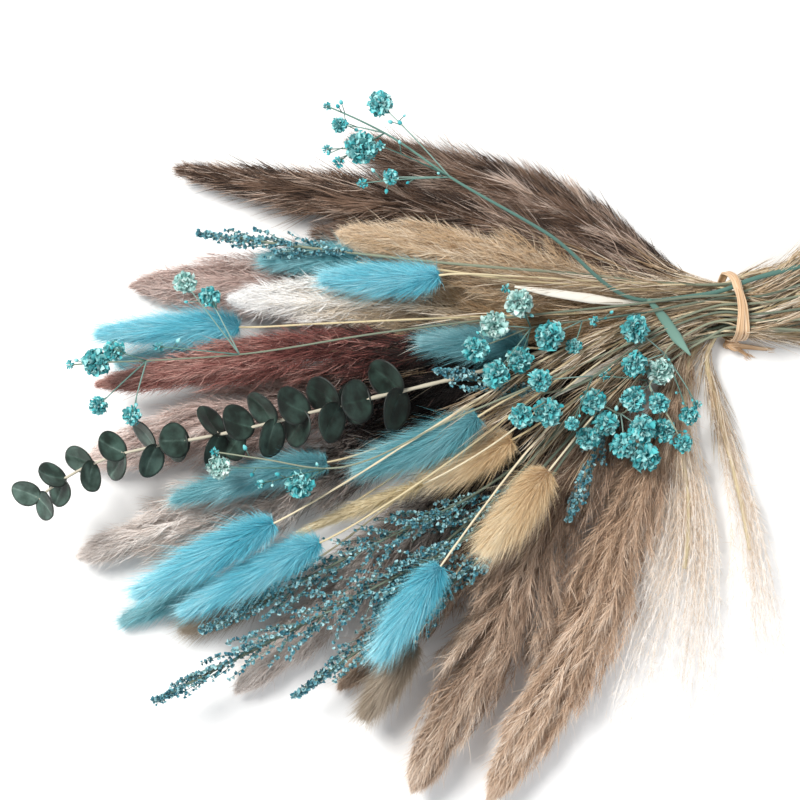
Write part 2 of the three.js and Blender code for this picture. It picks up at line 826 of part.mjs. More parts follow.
function band(solids) {
  const inside = stemsInBand(solids);
  const shape = new THREE.Shape(bandOutline(inside, CLEARANCE + BAND_THICKNESS, BAND_SIDES));
  shape.holes.push(new THREE.Path(bandOutline(inside, CLEARANCE, BAND_SIDES)));
  const flat = new THREE.ExtrudeGeometry(shape, { depth: BAND_WIDTH, bevelEnabled: false });
  const turn = new THREE.Matrix4().makeBasis(
    new THREE.Vector3(0, 1, 0),
    new THREE.Vector3(0, 0, 1),
    new THREE.Vector3(1, 0, 0),
  );
  return flat.applyMatrix4(turn).translate(-BAND_WIDTH / 2, 0, 0);
}

// The knot sits on the band's -Y side, with its two loose ends laid towards the cut stems.
// It is drawn in from the side until it lies a clearance from the band or a stem.
function knot(neighbours) {
  const start = -2 * BUNCH_RADIUS - KNOT_RADIUS;
  const middle = new THREE.Vector3(0, start, KNOT_RADIUS + 2 * CLEARANCE);
  const ball = new THREE.IcosahedronGeometry(KNOT_RADIUS, 1);
  const parts = [solid(ball.translate(...middle))];
  KNOT_TAIL.forEach((length, i) => {
    const angle = radians(KNOT_TAIL_ANGLE[i]);
    const away = new THREE.Vector3(Math.cos(angle), Math.sin(angle), 0);
    const chain = [0, 0.5, 1].map((share) => {
      const p = middle.clone().addScaledVector(away, length * share);
      p.z = lerp(middle.z, KNOT_TAIL_THICKNESS + CLEARANCE, Math.min(1, 1.6 * share));
      return { at: p, width: KNOT_TAIL_WIDTH / 2, height: KNOT_TAIL_THICKNESS / 2 };
    });
    parts.push(solid(tube(chain, 6)));
  });
  const around = wasm.Manifold.compose(neighbours);
  let tied = wasm.Manifold.union(parts);
  let room = Infinity;
  while (room > 0.01) {
    room = tied.minGap(around, 4 * BUNCH_RADIUS) - CLEARANCE;
    tied = tied.translate(0, room, 0);
  }
  return joined([tied]);
}

// ---------------------------------------------------------------- the bunch
function mesh(name, geometry, colour) {
  const made = new THREE.Mesh(geometry, material(colour));
  made.name = name;
  return made;
}

function stemMesh(stem) {
  let geometry;
  if (stem.kind === "gypsophila") geometry = spraySolid(stem);
  else if (stem.kind === "eucalyptus") geometry = sprigSolid(stem);
  else geometry = tube(stem.chains[0], stem.sides);
  return mesh(stem.name, geometry, stem.colour);
}

const stems = [
  ...PLUMES.map((row) => headed("plume", row)),
  ...BUNNY_TAILS.map((row) => headed("bunnyTail", row)),
  ...SEA_LAVENDER.map((row) => headed("seaLavender", row)),
  ...FOXTAILS.map((row) => headed("foxtail", row)),
  ...BLADES.map((row) => headed("blade", row)),
  eucalyptus(SPRIG),
  ...SPRAYS.map(spray),
];
giveSlots(stems);
for (const stem of stems) stem.lay();
settle(stems);

const bunch = new THREE.Group();
for (const stem of stems) bunch.add(stemMesh(stem));
const stemSolids = bunch.children.map((made) => solid(made.geometry));
const raffia = band(stemSolids);
bunch.add(mesh("raffia_band", raffia, RAFFIA));
bunch.add(mesh("raffia_knot", knot([...stemSolids, solid(raffia)]), RAFFIA));

// The origin is on the table, under the middle of the bunch's box.
const box = new THREE.Box3().setFromObject(bunch);
const middle = box.getCenter(new THREE.Vector3());
bunch.position.set(-middle.x, -middle.y, -box.min.z);

const root = new THREE.Group();
root.add(bunch);
export default root;
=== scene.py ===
"""The looks of the dried bunch: plumes and bunny tails of fine hairs, petalled flowers, veined
leaves and a raffia tie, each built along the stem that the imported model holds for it."""

import json
import zlib
from math import tau

import bpy
import numpy as np
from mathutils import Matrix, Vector


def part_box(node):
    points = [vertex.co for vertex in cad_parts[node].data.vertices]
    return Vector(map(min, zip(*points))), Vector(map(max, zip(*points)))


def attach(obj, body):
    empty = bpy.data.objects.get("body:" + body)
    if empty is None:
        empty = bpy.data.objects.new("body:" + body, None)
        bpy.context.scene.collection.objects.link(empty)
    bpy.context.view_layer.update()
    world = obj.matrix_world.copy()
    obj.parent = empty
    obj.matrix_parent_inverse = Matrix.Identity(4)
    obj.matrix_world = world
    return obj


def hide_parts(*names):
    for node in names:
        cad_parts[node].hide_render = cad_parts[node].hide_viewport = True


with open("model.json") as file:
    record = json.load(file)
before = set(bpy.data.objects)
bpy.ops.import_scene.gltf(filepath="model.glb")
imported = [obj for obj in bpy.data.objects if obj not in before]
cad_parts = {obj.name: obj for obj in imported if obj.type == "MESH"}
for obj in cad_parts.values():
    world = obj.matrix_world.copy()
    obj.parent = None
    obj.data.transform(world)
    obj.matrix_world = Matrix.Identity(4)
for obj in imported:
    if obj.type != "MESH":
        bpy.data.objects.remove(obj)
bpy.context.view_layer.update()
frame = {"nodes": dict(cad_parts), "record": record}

MM = 0.001  # everything below is in millimetres until a mesh is made
UP = np.array([0.0, 0.0, 1.0])
FLOOR = 0.25  # hairs that would reach below this height are laid on the table
END_REACH = 4.0  # points this near a node's last one belong to its end
TIE_RING = 3  # the ring of every swept stem that lies in the band
low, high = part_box("raffia_band")
TIE = np.array((low + high) / 2) / MM  # the middle of the band
RECORD_SLOT = {p["node"]: p["material_slot"] for p in frame["record"]["subparts"]}
# How many rings of each swept kind belong to its head.
HEAD_RINGS = {"pampas_plume": 7, "reed_plume": 7, "bunny_tail": 5, "sea_lavender": 5, "foxtail": 5,
              "straw_blade": 4}


# ---- small helpers
def unit(v):
    return v / np.maximum(np.linalg.norm(v, axis=-1, keepdims=True), 1e-9)


def kind_of(node):
    """A node's name without its number."""
    return node.rstrip("_0123456789")


def colour(code):
    """A linear colour from its six-figure sRGB code."""
    srgb = np.array([int(code[i : i + 2], 16) / 255 for i in (0, 2, 4)])
    return (*np.where(srgb < 0.04045, srgb / 12.92, ((srgb + 0.055) / 1.055) ** 2.4), 1.0)


def welded(node):
    """A CAD node's points in mm, each once, its links and its triangles."""
    mesh = frame["nodes"][node].data
    co = np.empty(len(mesh.vertices) * 3)
    mesh.vertices.foreach_get("co", co)
    co = co.reshape(-1, 3) / MM
    _, first, where = np.unique(
        np.round(co * 100).astype(int), axis=0, return_index=True, return_inverse=True
    )
    where = where.reshape(-1)
    points = co[first]
    mesh.calc_loop_triangles()
    corners = np.empty(len(mesh.loop_triangles) * 3, int)
    mesh.loop_triangles.foreach_get("vertices", corners)
    faces = where[corners].reshape(-1, 3)
    links = [set() for _ in points]
    for a, b, c in faces:
        links[a] |= {b, c}
        links[b] |= {a, c}
        links[c] |= {a, b}
    return points, links, faces


def rings(node):
    """The rings of a swept CAD node, from the cut end to the tip."""
    points, links, _ = welded(node)
    ring = set(np.flatnonzero(points[:, 0] > points[:, 0].max() - END_REACH))
    seen, found = set(), []
    while ring:
        seen |= ring
        found.append(points[sorted(ring)])
        ring = {j for i in ring for j in links[i]} - seen
    return found


def off(base, one, level, two, raised):
    """Rows of places, level along one and raised along two from each place of base."""
    return base[:, None] + one[:, None] * level[..., None] + two[:, None] * raised[..., None]


def placed(name, data):
    """A new object in the scene."""
    thing = bpy.data.objects.new(name, data)
    bpy.context.scene.collection.objects.link(thing)
    return thing


class Spine:
    """A smooth line through stations, with a half-width and half-height at each."""

    def __init__(self, points, widths=1.0, heights=1.0):
        self.points = np.array(points, float)
        gaps = np.linalg.norm(np.diff(self.points, axis=0), axis=1)
        self.knots = np.concatenate([[0], np.cumsum(gaps)])
        self.length = self.knots[-1]
        self.widths = np.broadcast_to(widths, len(self.points))
        self.heights = np.broadcast_to(heights, len(self.points))
        slopes = np.diff(self.points, axis=0) / gaps[:, None]
        inner = (slopes[:-1] * gaps[1:, None] + slopes[1:] * gaps[:-1, None]) / (
            gaps[1:, None] + gaps[:-1, None]
        )
        self.slopes = np.vstack([slopes[:1], inner, slopes[-1:]])

    def at(self, s):
        s = np.asarray(s, float)
        k = np.clip(np.searchsorted(self.knots, s) - 1, 0, len(self.knots) - 2)
        gap = (self.knots[k + 1] - self.knots[k])[..., None]
        t = np.clip((s - self.knots[k])[..., None] / gap, -0.5, 1.5)
        a, b = self.points[k], self.points[k + 1]
        m, n = self.slopes[k] * gap, self.slopes[k + 1] * gap
        u = np.clip(t, 0, 1)
        place = (
            (1 + 2 * u) * (1 - u) ** 2 * a
            + u * (1 - u) ** 2 * m
            + u * u * (3 - 2 * u) * b
            - u * u * (1 - u) * n
        )
        return place + np.where(t > 1, (t - 1) * n, 0) + np.where(t < 0, t * m, 0)

    def width(self, s):
        return np.interp(s, self.knots, self.widths)

    def height(self, s):
        return np.interp(s, self.knots, self.heights)

    def frames(self, s):
        """The ways along, level across and upwards at s."""
        along = unit(self.at(s + 0.5) - self.at(s - 0.5))
        across = unit(np.cross(UP, along))
        return along, across, np.cross(along, across)

    def beside(self, s, level, raised):
        """Places off the line by these distances, level across and upwards."""
        _, across, up = self.frames(s)
        return self.at(s) + level[..., None] * across + raised[..., None] * up

    def around(self, s, angle, share):
        """Places round the line at a share of the half-width and half-height."""
        level = self.width(s) * share * np.cos(angle)
        return self.beside(s, level, self.height(s) * share * np.sin(angle))


def spine_of(node):
    """The line of a swept CAD node, with the place of its tie, and where its head starts."""
    centres, widths, heights = [], [], []
    found = rings(node)
    middles = [ring.mean(axis=0) for ring in found]
    for k, ring in enumerate(found):
        ahead = middles[min(k + 1, len(found) - 1)] - middles[max(k - 1, 0)]
        across = unit(np.cross(UP, unit(ahead)))
        up = np.cross(unit(ahead), across)
        corner = np.cos(np.pi / len(ring))
        away = ring - middles[k]
        centres.append(middles[k])
        widths.append(np.abs(away @ across).max() / corner)
        heights.append(np.abs(away @ up).max())
    spine = Spine(centres, widths, heights)
    spine.tie = spine.knots[TIE_RING]
    return spine, spine.knots[-HEAD_RINGS[kind_of(node)]]


UV_EDGES = (0.03, 0.02)  # bare margins beside and below each material's strip of the UV square


class Piece:
    """Collects points and faces for one mesh. tint and along drive its materials' colours."""

    def __init__(self, name):
        self.name = name
        self.draw = np.random.default_rng(zlib.crc32(name.encode()))
        self.points, self.tint, self.along, self.side = [], [], [], []
        self.faces, self.count, self.slots = [], 0, []

    def add(self, points, faces, tint, along, look, side=0.0):
        if look not in self.slots:
            self.slots.append(look)
        n = len(points)
        self.points.append(points)
        for store, value in ((self.tint, tint), (self.along, along), (self.side, side)):
            store.append(np.broadcast_to(value, (n,)))
        for group in faces:
            if len(group):
                self.faces.append((np.asarray(group) + self.count, self.slots.index(look)))
        self.count += n

    def finish(self):
        """Make the mesh, and hide the CAD node that it replaces."""
        points = np.vstack(self.points)
        points[:, 2] = np.maximum(points[:, 2], FLOOR)
        tint, along, side = (
            np.concatenate(v).astype(np.float32) for v in (self.tint, self.along, self.side)
        )
        corners = np.concatenate([f.reshape(-1) for f, _ in self.faces])
        sizes = np.concatenate([np.full(len(f), f.shape[1]) for f, _ in self.faces])
        looks = np.concatenate([np.full(len(f), k) for f, k in self.faces])
        mesh = bpy.data.meshes.new(self.name + "_soft")
        mesh.vertices.add(len(points))
        mesh.vertices.foreach_set("co", (points * MM).astype(np.float32).reshape(-1))
        mesh.loops.add(len(corners))
        mesh.loops.foreach_set("vertex_index", corners.astype(np.int32))
        mesh.polygons.add(len(sizes))
        starts = np.concatenate([[0], np.cumsum(sizes)[:-1]])
        mesh.polygons.foreach_set("loop_start", starts.astype(np.int32))
        mesh.polygons.foreach_set("material_index", looks.astype(np.int32))
        mesh.polygons.foreach_set("use_smooth", np.ones(len(sizes), bool))
        mesh.update(calc_edges=True)
        for name, values in (("tint", tint), ("along", along)):
            mesh.attributes.new(name, "FLOAT", "POINT").data.foreach_set("value", values)
        kind = np.repeat(looks, sizes)
        shade = np.clip(tint[corners] + 0.01 * side[corners], 0, 1)
        u = (kind + UV_EDGES[0] + (1 - 2 * UV_EDGES[0]) * shade) / len(self.slots)
        v = UV_EDGES[1] + (1 - 2 * UV_EDGES[1]) * along[corners]
        layer = mesh.uv_layers.new(name="OFBake")
        layer.data.foreach_set("uv", np.column_stack([u, v]).astype(np.float32).reshape(-1))
        for look in self.slots:
            mesh.materials.append(LOOKS[look])
        thing = placed(mesh.name, mesh)
        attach(thing, "root")
        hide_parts(self.name)


# ---- shapes
def ribbons(piece, root, way, length, width, facing, tint, look, bend=None, parts=2):
    """Tapered hairs: from root along way, curving by bend, each turned to face the way given."""
    n = len(root)
    t = np.linspace(0, 1, parts + 1)
    middle = root[:, None] + way[:, None] * (length[:, None] * t)[..., None]
    if bend is not None:
        middle = middle + bend[:, None] * (length[:, None] * t**2)[..., None]
    side = unit(np.cross(way, facing))
    half = 0.5 * width[:, None] * (1 - t[:-1]) ** 0.6
    left = middle[:, :-1] - side[:, None] * half[..., None]
    right = middle[:, :-1] + side[:, None] * half[..., None]
    rows = np.stack([left, right], axis=2).reshape(n, 2 * parts, 3)
    points = np.concatenate([rows, middle[:, -1:]], axis=1)
    per = 2 * parts + 1
    start = (np.arange(n) * per)[:, None]
    quads = [start + 2 * k + np.array([0, 1, 3, 2]) for k in range(parts - 1)]
    tips = start + 2 * parts + np.array([-2, -1, 0])
    along = np.concatenate([np.repeat(t[:-1], 2), [1.0]])
    sides = np.concatenate([np.tile([-1.0, 1.0], parts), [0.0]])
    piece.add(
        points.reshape(-1, 3),
        [np.vstack(quads) if quads else [], tips],
        np.repeat(tint, per),
        np.tile(along, n),
        look,
        np.tile(sides, n),
    )


def sheet(rows, columns):
    """The faces of a sheet of rows of points."""
    i, j = np.meshgrid(np.arange(rows - 1), np.arange(columns - 1), indexing="ij")
    a = (i * columns + j).reshape(-1)
    return np.stack([a, a + 1, a + columns + 1, a + columns], axis=1)


def belts(rows, turns):
    """The first corner of each face between closed rings of points, and the next one round."""
    k, t = np.meshgrid(np.arange(rows - 1), np.arange(turns), indexing="ij")
    return np.stack([k * turns + t, k * turns + (t + 1) % turns]).reshape(2, -1)


def tube(piece, line, radii, look, tint=0.5, sides=8, heights=None):
    """A closed tube through the points of line."""
    line = np.asarray(line, float)
    n = len(line)
    ahead = unit(np.gradient(line, axis=0))
    across = unit(np.cross(UP + 1e-3, ahead))
    up = np.cross(ahead, across)
    turn = tau * (np.arange(sides) + 0.5) / sides
    radii = np.broadcast_to(radii, (n,))
    heights = radii if heights is None else np.broadcast_to(heights, (n,))
    points = off(line, across, radii[:, None] * np.cos(turn), up, heights[:, None] * np.sin(turn))
    points = np.vstack([points.reshape(-1, 3), line[0], line[-1]])
    a, b = belts(n, sides)
    walls = np.stack([a, b, b + sides, a + sides], axis=1)
    s = np.arange(sides)
    near = np.column_stack([np.full(sides, n * sides), (s + 1) % sides, s])
    last = (n - 1) * sides
    far = np.column_stack([np.full(sides, n * sides + 1), last + s, last + (s + 1) % sides])
    side = np.repeat(np.cos(turn)[None], n, axis=0).reshape(-1)
    piece.add(
        points,
        [walls, np.vstack([near, far])],
        tint,
        np.concatenate([np.repeat(np.linspace(0, 1, n), sides), [0, 1]]),
        look,
        np.concatenate([side, [0, 0]]),
    )


STEM_STEP = 4.0
JOINT_EVERY = 47.0  # from one swollen joint of a stem to the next
STEM_SHARE = 0.86  # of the CAD stem's radius, which leaves room for its loose fibres


def stem(piece, spine, start, end, look, sides=7, least=0.0):
    """The bare stem, a little uneven, with the swollen joints of a grass."""
    s = np.append(np.arange(start, end, STEM_STEP), end)
    joint = np.exp(-(((s % JOINT_EVERY) - 20) ** 2) / 6)
    wobble = 1 + 0.08 * np.sin(s / 3.1) + 0.18 * joint
    thick = spine.widths[0] * np.interp(s, [0, start + 1, end], [1, 1, 0.8])
    radii = np.maximum(thick * STEM_SHARE, least) * wobble
    tube(piece, spine.at(s), radii, look, piece.draw.uniform(0.2, 0.8), sides)


CORE_STATIONS = 26
CORE_LEAST = 0.5  # the least radius of a core


def core(piece, spine, start, end, share, look, sides=9):
    """The solid heart of a head, inside its hairs."""
    s = np.linspace(start, end, CORE_STATIONS)
    lump = share * (1 + 0.1 * piece.draw.standard_normal(CORE_STATIONS))
    radii = np.maximum(spine.width(s) * lump, CORE_LEAST)
    heights = np.maximum(spine.height(s) * lump, CORE_LEAST)
    tube(piece, spine.at(s), radii, look, 0.3, sides, heights)


PLUME_SHARE = 0.85  # of the CAD head's half-width, for the roots of the hairs
PLUME_HEIGHT = 0.6  # the plume's height over its width
WIDEST = 0.45  # how far up a head is widest


def fluff(spine, start, s):
    """The room that hairs fill: the head's own, and a taper from it down to the tie."""
    full = spine.widths.max() * PLUME_SHARE
    foot = spine.tie + 8
    widest = start + WIDEST * (spine.length - start)
    below = np.clip((s - foot) / (widest - foot), 0, 1)
    taper = np.clip((spine.length + 2 - s) / (spine.length - widest), 0, 1) ** 0.5
    wide = np.where(s < widest, full * below**0.9 + 1, full * taper)
    return wide, PLUME_HEIGHT * wide


DROOP = 0.12  # how far hairs hang, over their length
STRAY_LENGTH = 1.7  # of a stray hair, over its neighbours'
FOOT_END = 0.14  # where the painted shade on a plume's foot ends, over the head's length


def plume(piece, spine, start, look, branches, hairs=100, reach=(30, 52), size=(6, 12), width=0.28,
          spread=0.34, foot=0.0, loose=1.5, tip_tint=0.0, foot_tint=0.0, painted_shade_look=None,
          stray=0.05, clump=0.65):
    """A feathery head: hairs in tufts along branches that lean out from the stem to the tip.

    reach is the length of the branches, size that of the hairs, and foot the bare stem above the
    tie. loose is how wide the head stands, spread how untidy its hairs are, stray the share of
    longer ones, and clump how far each branch keeps a shade of its own."""
    draw = piece.draw
    end = spine.length
    first = spine.tie + 6 + foot
    origin = first + (end - 10 - first) * draw.random(branches) ** 0.75
    extent = np.minimum(draw.uniform(*reach, branches), end + 4 - origin)
    angle = draw.uniform(0, tau, branches)
    outer = loose * draw.uniform(0.05, 1, branches) ** 0.6
    branch_tint = draw.random(branches)
    b = np.repeat(np.arange(branches), hairs)
    q = draw.uniform(0.03, 1, branches * hairs) ** 0.8

    def place(q):
        s = origin[b] + extent[b] * q
        turn = angle[b] + 0.5 * (q - 0.5) * np.sin(7 * angle[b])
        wide, high = fluff(spine, start, s)
        away = outer[b] * q**0.6
        return spine.beside(s, wide * away * np.cos(turn), high * away * np.sin(turn))

    root = place(q)
    ahead = unit(place(q + 0.04) - root)
    n = len(b)
    root = root + 0.6 * draw.standard_normal((n, 3))
    way = unit(ahead + spread * draw.standard_normal((n, 3)))
    s = origin[b] + extent[b] * q
    wide, _ = fluff(spine, start, s)
    length = draw.uniform(*size, n) * (1 - 0.25 * q) * np.clip(0.35 + 0.09 * wide, 0, 1)
    length = length * np.where(draw.random(n) < stray, STRAY_LENGTH, 1.0)
    outward = unit(root - spine.at(s) + 1e-6)
    facing = unit(outward + 0.7 * draw.standard_normal((n, 3)))
    bend = 0.25 * ahead + DROOP * draw.random((n, 1)) * -UP
    tint = clump * branch_tint[b] + (1 - clump) * draw.random(n)
    along_head = (s - start) / (end - start)
    # a negative foot_tint darkens the hairs down the foot towards the tie: painted shade where the
    # stems crowd
    tint = tint + tip_tint * (along_head - 0.5) + foot_tint * np.clip(-2 * along_head, 0, 1)
    tint = np.clip(tint, 0, 1)
    broad = width * draw.uniform(0.7, 1.3, n)
    # hairs low on the foot may take the near-black foot look: painted shade among the crowded
    # stems
    low = along_head + 0.12 * draw.standard_normal(n) < (FOOT_END if painted_shade_look else -np.inf)
    for part, shade in ((low, painted_shade_look), (~low, look)):
        if part.any():
            ribbons(piece, root[part], way[part], length[part], broad[part], facing[part],
                    tint[part], shade, bend[part])


WISP_STEPS = 30
SPIKELETS = 5  # for each step of a strand, before some are dropped


def wisps(piece, spine, start, look, strands, across_by, up_by):
    """Long fine strands that spread out from the stem, with spikelets set along each."""
    draw = piece.draw
    end = spine.length
    first = spine.tie + 12
    origin = draw.uniform(first, start + 30, strands)
    extent = end - origin + draw.uniform(-45, 5, strands)
    side = across_by * draw.uniform(-1, 1, strands)
    lift = up_by * draw.uniform(-1, 1, strands)
    sway = draw.uniform(-3, 3, strands)
    b = np.repeat(np.arange(strands), WISP_STEPS)
    q = np.tile(np.arange(WISP_STEPS) / WISP_STEPS, strands)

    def place(b, q):
        out = q**0.8
        level = side[b] * out + sway[b] * np.sin(5 * q)
        return spine.beside(origin[b] + extent[b] * q, level, lift[b] * out)

    root = place(b, q)
    step = place(b, q + 1 / WISP_STEPS) - root
    size = np.linalg.norm(step, axis=1)
    pale = np.clip(0.15 + 0.9 * q + 0.15 * draw.standard_normal(len(b)), 0, 1)
    ribbons(piece, root, unit(step), 1.5 * size, 0.34 * (1 - 0.5 * q), UP, pale, look)
    b = np.repeat(b, SPIKELETS)
    q = np.repeat(q, SPIKELETS) + draw.uniform(0, 1 / WISP_STEPS, len(b))
    keep = draw.random(len(b)) > 0.15 + 0.5 * q
    b, q = b[keep], q[keep]
    root = place(b, q)
    ahead = unit(place(b, q + 0.01) - root)
    n = len(b)
    way = unit(ahead + 0.42 * draw.standard_normal((n, 3)))
    pale = np.clip(0.1 + 0.85 * q + 0.25 * draw.standard_normal(n), 0, 1)
    ribbons(piece, root, way, draw.uniform(3, 7, n), draw.uniform(0.14, 0.26, n), UP, pale, look,
            0.2 * ahead)


WHISKER_LENGTH = 1.7  # of a whisker, over the fur's


def fur(piece, spine, start, look, hairs, size, width, lean, share, whiskers=0.0):
    """Close silky fur that leans towards the tip, closes in round it and is lightest there, a
    painted highlight.

    share places its roots, over the head's half-width; whiskers is the share of longer hairs."""
    draw = piece.draw
    end = spine.length
    share_along = draw.random(hairs) ** 0.95
    s = start + (end - 0.5 * size[1] - start) * share_along
    closing = np.clip((share_along - 0.45) / 0.55, 0, 1)
    angle = draw.uniform(0, tau, hairs)
    depth = share * draw.uniform(0.75, 1.1, hairs)
    root = spine.around(s, angle, depth)
    ahead, _, _ = spine.frames(s)
    outward = unit(spine.around(s, angle, 1.0) - spine.at(s))
    long = draw.random(hairs) < whiskers
    forward = (lean * (0.1 + 1.15 * np.clip(3.5 * share_along, 0, 1)))[:, None]
    way = unit(forward * ahead + (1 - lean) * outward + 0.16 * draw.standard_normal((hairs, 3)))
    length = draw.uniform(*size, hairs) * np.clip(0.5 + 2.5 * share_along, 0, 1)
    length = length * (1 - 0.35 * closing)
    length = np.where(long, length * WHISKER_LENGTH, length)
    facing = unit(outward + 0.6 * draw.standard_normal((hairs, 3)))
    clump = 0.5 + 0.5 * np.sin(angle * 5 + s * 0.35 + 2 * np.sin(s * 0.21 + angle * 3))
    # the last term lightens the fur towards the tip of the head: painted highlight
    tint = 0.4 * clump + 0.55 * draw.random(hairs) + 0.4 * (share_along - 0.45)
    bend = 0.3 * ahead - (np.where(long, 0.1, 0.45) * closing)[:, None] * outward
    ribbons(piece, root, way, length, width * draw.uniform(0.7, 1.3, hairs), facing,
            np.clip(tint, 0, 1), look, bend)


# ---- branched CAD nodes
def grouped(count, pairs):
    """A group number for each of count things, joined by pairs."""
    parent = list(range(count))

    def top(i):
        while parent[i] != i:
            parent[i] = parent[parent[i]]
            i = parent[i]
        return i

    for a, b in pairs:
        parent[top(a)] = top(b)
    return np.array([top(i) for i in range(count)])


def lumps(points, faces, least, most, count):
    """Sets of points whose faces are neither thin nor long: flower balls and round leaves."""
    ends = points[faces]
    edges = np.linalg.norm(ends - np.roll(ends, 1, axis=1), axis=2)
    fat = faces[(edges.min(axis=1) > least) & (edges.max(axis=1) < most)]
    group = grouped(len(points), [pair for a, b, c in fat for pair in ((a, b), (b, c))])
    names, sizes = np.unique(group[fat[:, 0]], return_counts=True)
    return [np.flatnonzero(group == g) for g, n in zip(names, sizes) if n >= count]


def ball_of(points):
    """The centre and radius of the ball, or of the flat circle, that points lie on."""
    rows = np.column_stack([2 * points, np.ones(len(points))])
    found = np.linalg.lstsq(rows, (points**2).sum(axis=1), rcond=None)[0]
    return found[:-1], np.sqrt(found[-1] + found[:-1] @ found[:-1])


FLOWER_EDGES = (1.1, 9.5)  # the shortest and longest edge of a face of a flower ball
FLOWER_FACES = 8  # the fewest faces of a ball
TWIG_LINK = 2.8  # points of one twig's ring lie closer than this
NEAR_TIE = 8.0  # no flower lies this near the tie


def branches_of(node):
    """The flower balls of a spray's CAD node, and the line from the cut end to each."""
    points, links, faces = welded(node)
    found = [k for k in lumps(points, faces, *FLOWER_EDGES, FLOWER_FACES)
             if points[k][:, 0].mean() < TIE[0] - NEAR_TIE and points[k][:, 0].max() < TIE[0]]
    owner = np.full(len(points), -1)
    for i, members in enumerate(found):
        owner[members] = i
        middle, radius = ball_of(points[members])
        owner[np.linalg.norm(points - middle, axis=1) < 1.12 * radius] = i
    pairs = [(a, b) for a in range(len(points)) for b in links[a]]
    near = [(a, b) for a, b in pairs if owner[a] == owner[b] == -1
            and np.linalg.norm(points[a] - points[b]) < TWIG_LINK]
    group = grouped(len(points), near)
    group[owner >= 0] = len(points) + owner[owner >= 0]
    beyond = {}
    for a, b in pairs:
        if group[a] != group[b]:
            beyond.setdefault(group[a], set()).add(group[b])
    first = group[points[:, 0].argmax()]
    before, queue, later = {first: None}, [first], []
    while queue or later:
        g = queue.pop(0) if queue else later.pop(0)
        for h in sorted(beyond.get(g, ())):
            if h not in before:
                before[h] = g
                (queue if h < len(points) else later).append(h)
    place = {g: points[group == g].mean(axis=0) for g in before}
    lines = []
    for i in range(len(found)):
        g, line = len(points) + i, []
        while g is not None:
            line.append(g)
            g = before.get(g)
        lines.append(line[::-1])
    return points, found, lines, place


# ---- looks
def nodes_of(name):
    look = bpy.data.materials.new(name)
    look.use_nodes = True
    return look, look.node_tree, look.node_tree.nodes["Principled BSDF"]


def feed(tree, node, **inputs):
    """Fill a node's sockets, each from another node's socket or with one value."""
    for name, value in inputs.items():
        socket = node.inputs[name.replace("_", " ")]
        if isinstance(value, bpy.types.NodeSocket):
            tree.links.new(value, socket)
        else:
            socket.default_value = value


def attribute(tree, name):
    made = tree.nodes.new("ShaderNodeAttribute")
    made.attribute_name = name
    return made.outputs["Fac"]


def ramp(tree, value, stops):
    made = tree.nodes.new("ShaderNodeValToRGB")
    points = made.color_ramp.elements
    while len(points) < len(stops):
        points.new(0.5)
    for point, (at, code) in zip(points, stops):
        point.position = at
        point.color = colour(code)
    feed(tree, made, Fac=value)
    return made.outputs["Color"]


def mix(tree, share, one, two, how="MIX"):
    """Two colours joined; share is a link from another node, or one number for all of it."""
    made = tree.nodes.new("ShaderNodeMix")
    made.data_type = "RGBA"
    made.blend_type = how
    feed(tree, made, Factor=share, A=one, B=two)
    return made.outputs["Result"]


def noise(tree, scale, detail=3.0):
    made = tree.nodes.new("ShaderNodeTexNoise")
    where = tree.nodes.new("ShaderNodeTexCoord").outputs["Object"]
    feed(tree, made, Scale=scale, Detail=detail, Vector=where)
    return made.outputs["Fac"]


def grain(tree, shader, scale, rough, strength, depth):
    """Fine noise that varies the roughness and dents the surface."""
    fine = noise(tree, scale)
    span = tree.nodes.new("ShaderNodeMapRange")
    feed(tree, span, To_Min=rough[0], To_Max=rough[1], Value=fine)
    dents = tree.nodes.new("ShaderNodeBump")
    feed(tree, dents, Strength=strength, Distance=depth, Height=fine)
    feed(tree, shader, Roughness=span.outputs["Result"], Normal=dents.outputs["Normal"])


def shades(tree, value, codes):
    """The colours of codes, spaced evenly along value."""
    codes = codes.split()
    return ramp(tree, value, [(i / (len(codes) - 1), code) for i, code in enumerate(codes)])


def fibre(name, roots, tips, sheen=0.15, rough=(0.6, 0.85)):
    """Hairs and stems: tint picks a shade, and the colour passes from roots to tips, partly as
    painted shade and highlight.
    """
    look, tree, shader = nodes_of(name)
    tint, along = attribute(tree, "tint"), attribute(tree, "along")
    paint = mix(tree, along, shades(tree, tint, roots), shades(tree, tint, tips))
    feed(tree, shader, Base_Color=paint, Sheen_Weight=sheen, Specular_IOR_Level=0.3)
    grain(tree, shader, 2500.0, rough, 0.25, 0.0002)
    return look


def bloomy(name, greens, blooms):
    """A waxy leaf: a dark green under patches of cloudy grey bloom."""
    look, tree, shader = nodes_of(name)
    tint, along = attribute(tree, "tint"), attribute(tree, "along")
    soft = ramp(tree, noise(tree, 110.0, 5.0), [(0.42, "000000"), (0.68, "ffffff")])
    paint = mix(tree, soft, shades(tree, tint, greens), shades(tree, tint, blooms))
    edge = ramp(tree, along, [(0.0, "ffffff"), (0.86, "ffffff"), (1.0, "6f7f70")])
    feed(tree, shader, Base_Color=mix(tree, 1.0, paint, edge, "MULTIPLY"), Sheen_Weight=0.1)
    grain(tree, shader, 900.0, (0.38, 0.62), 0.3, 0.0003)
    return look
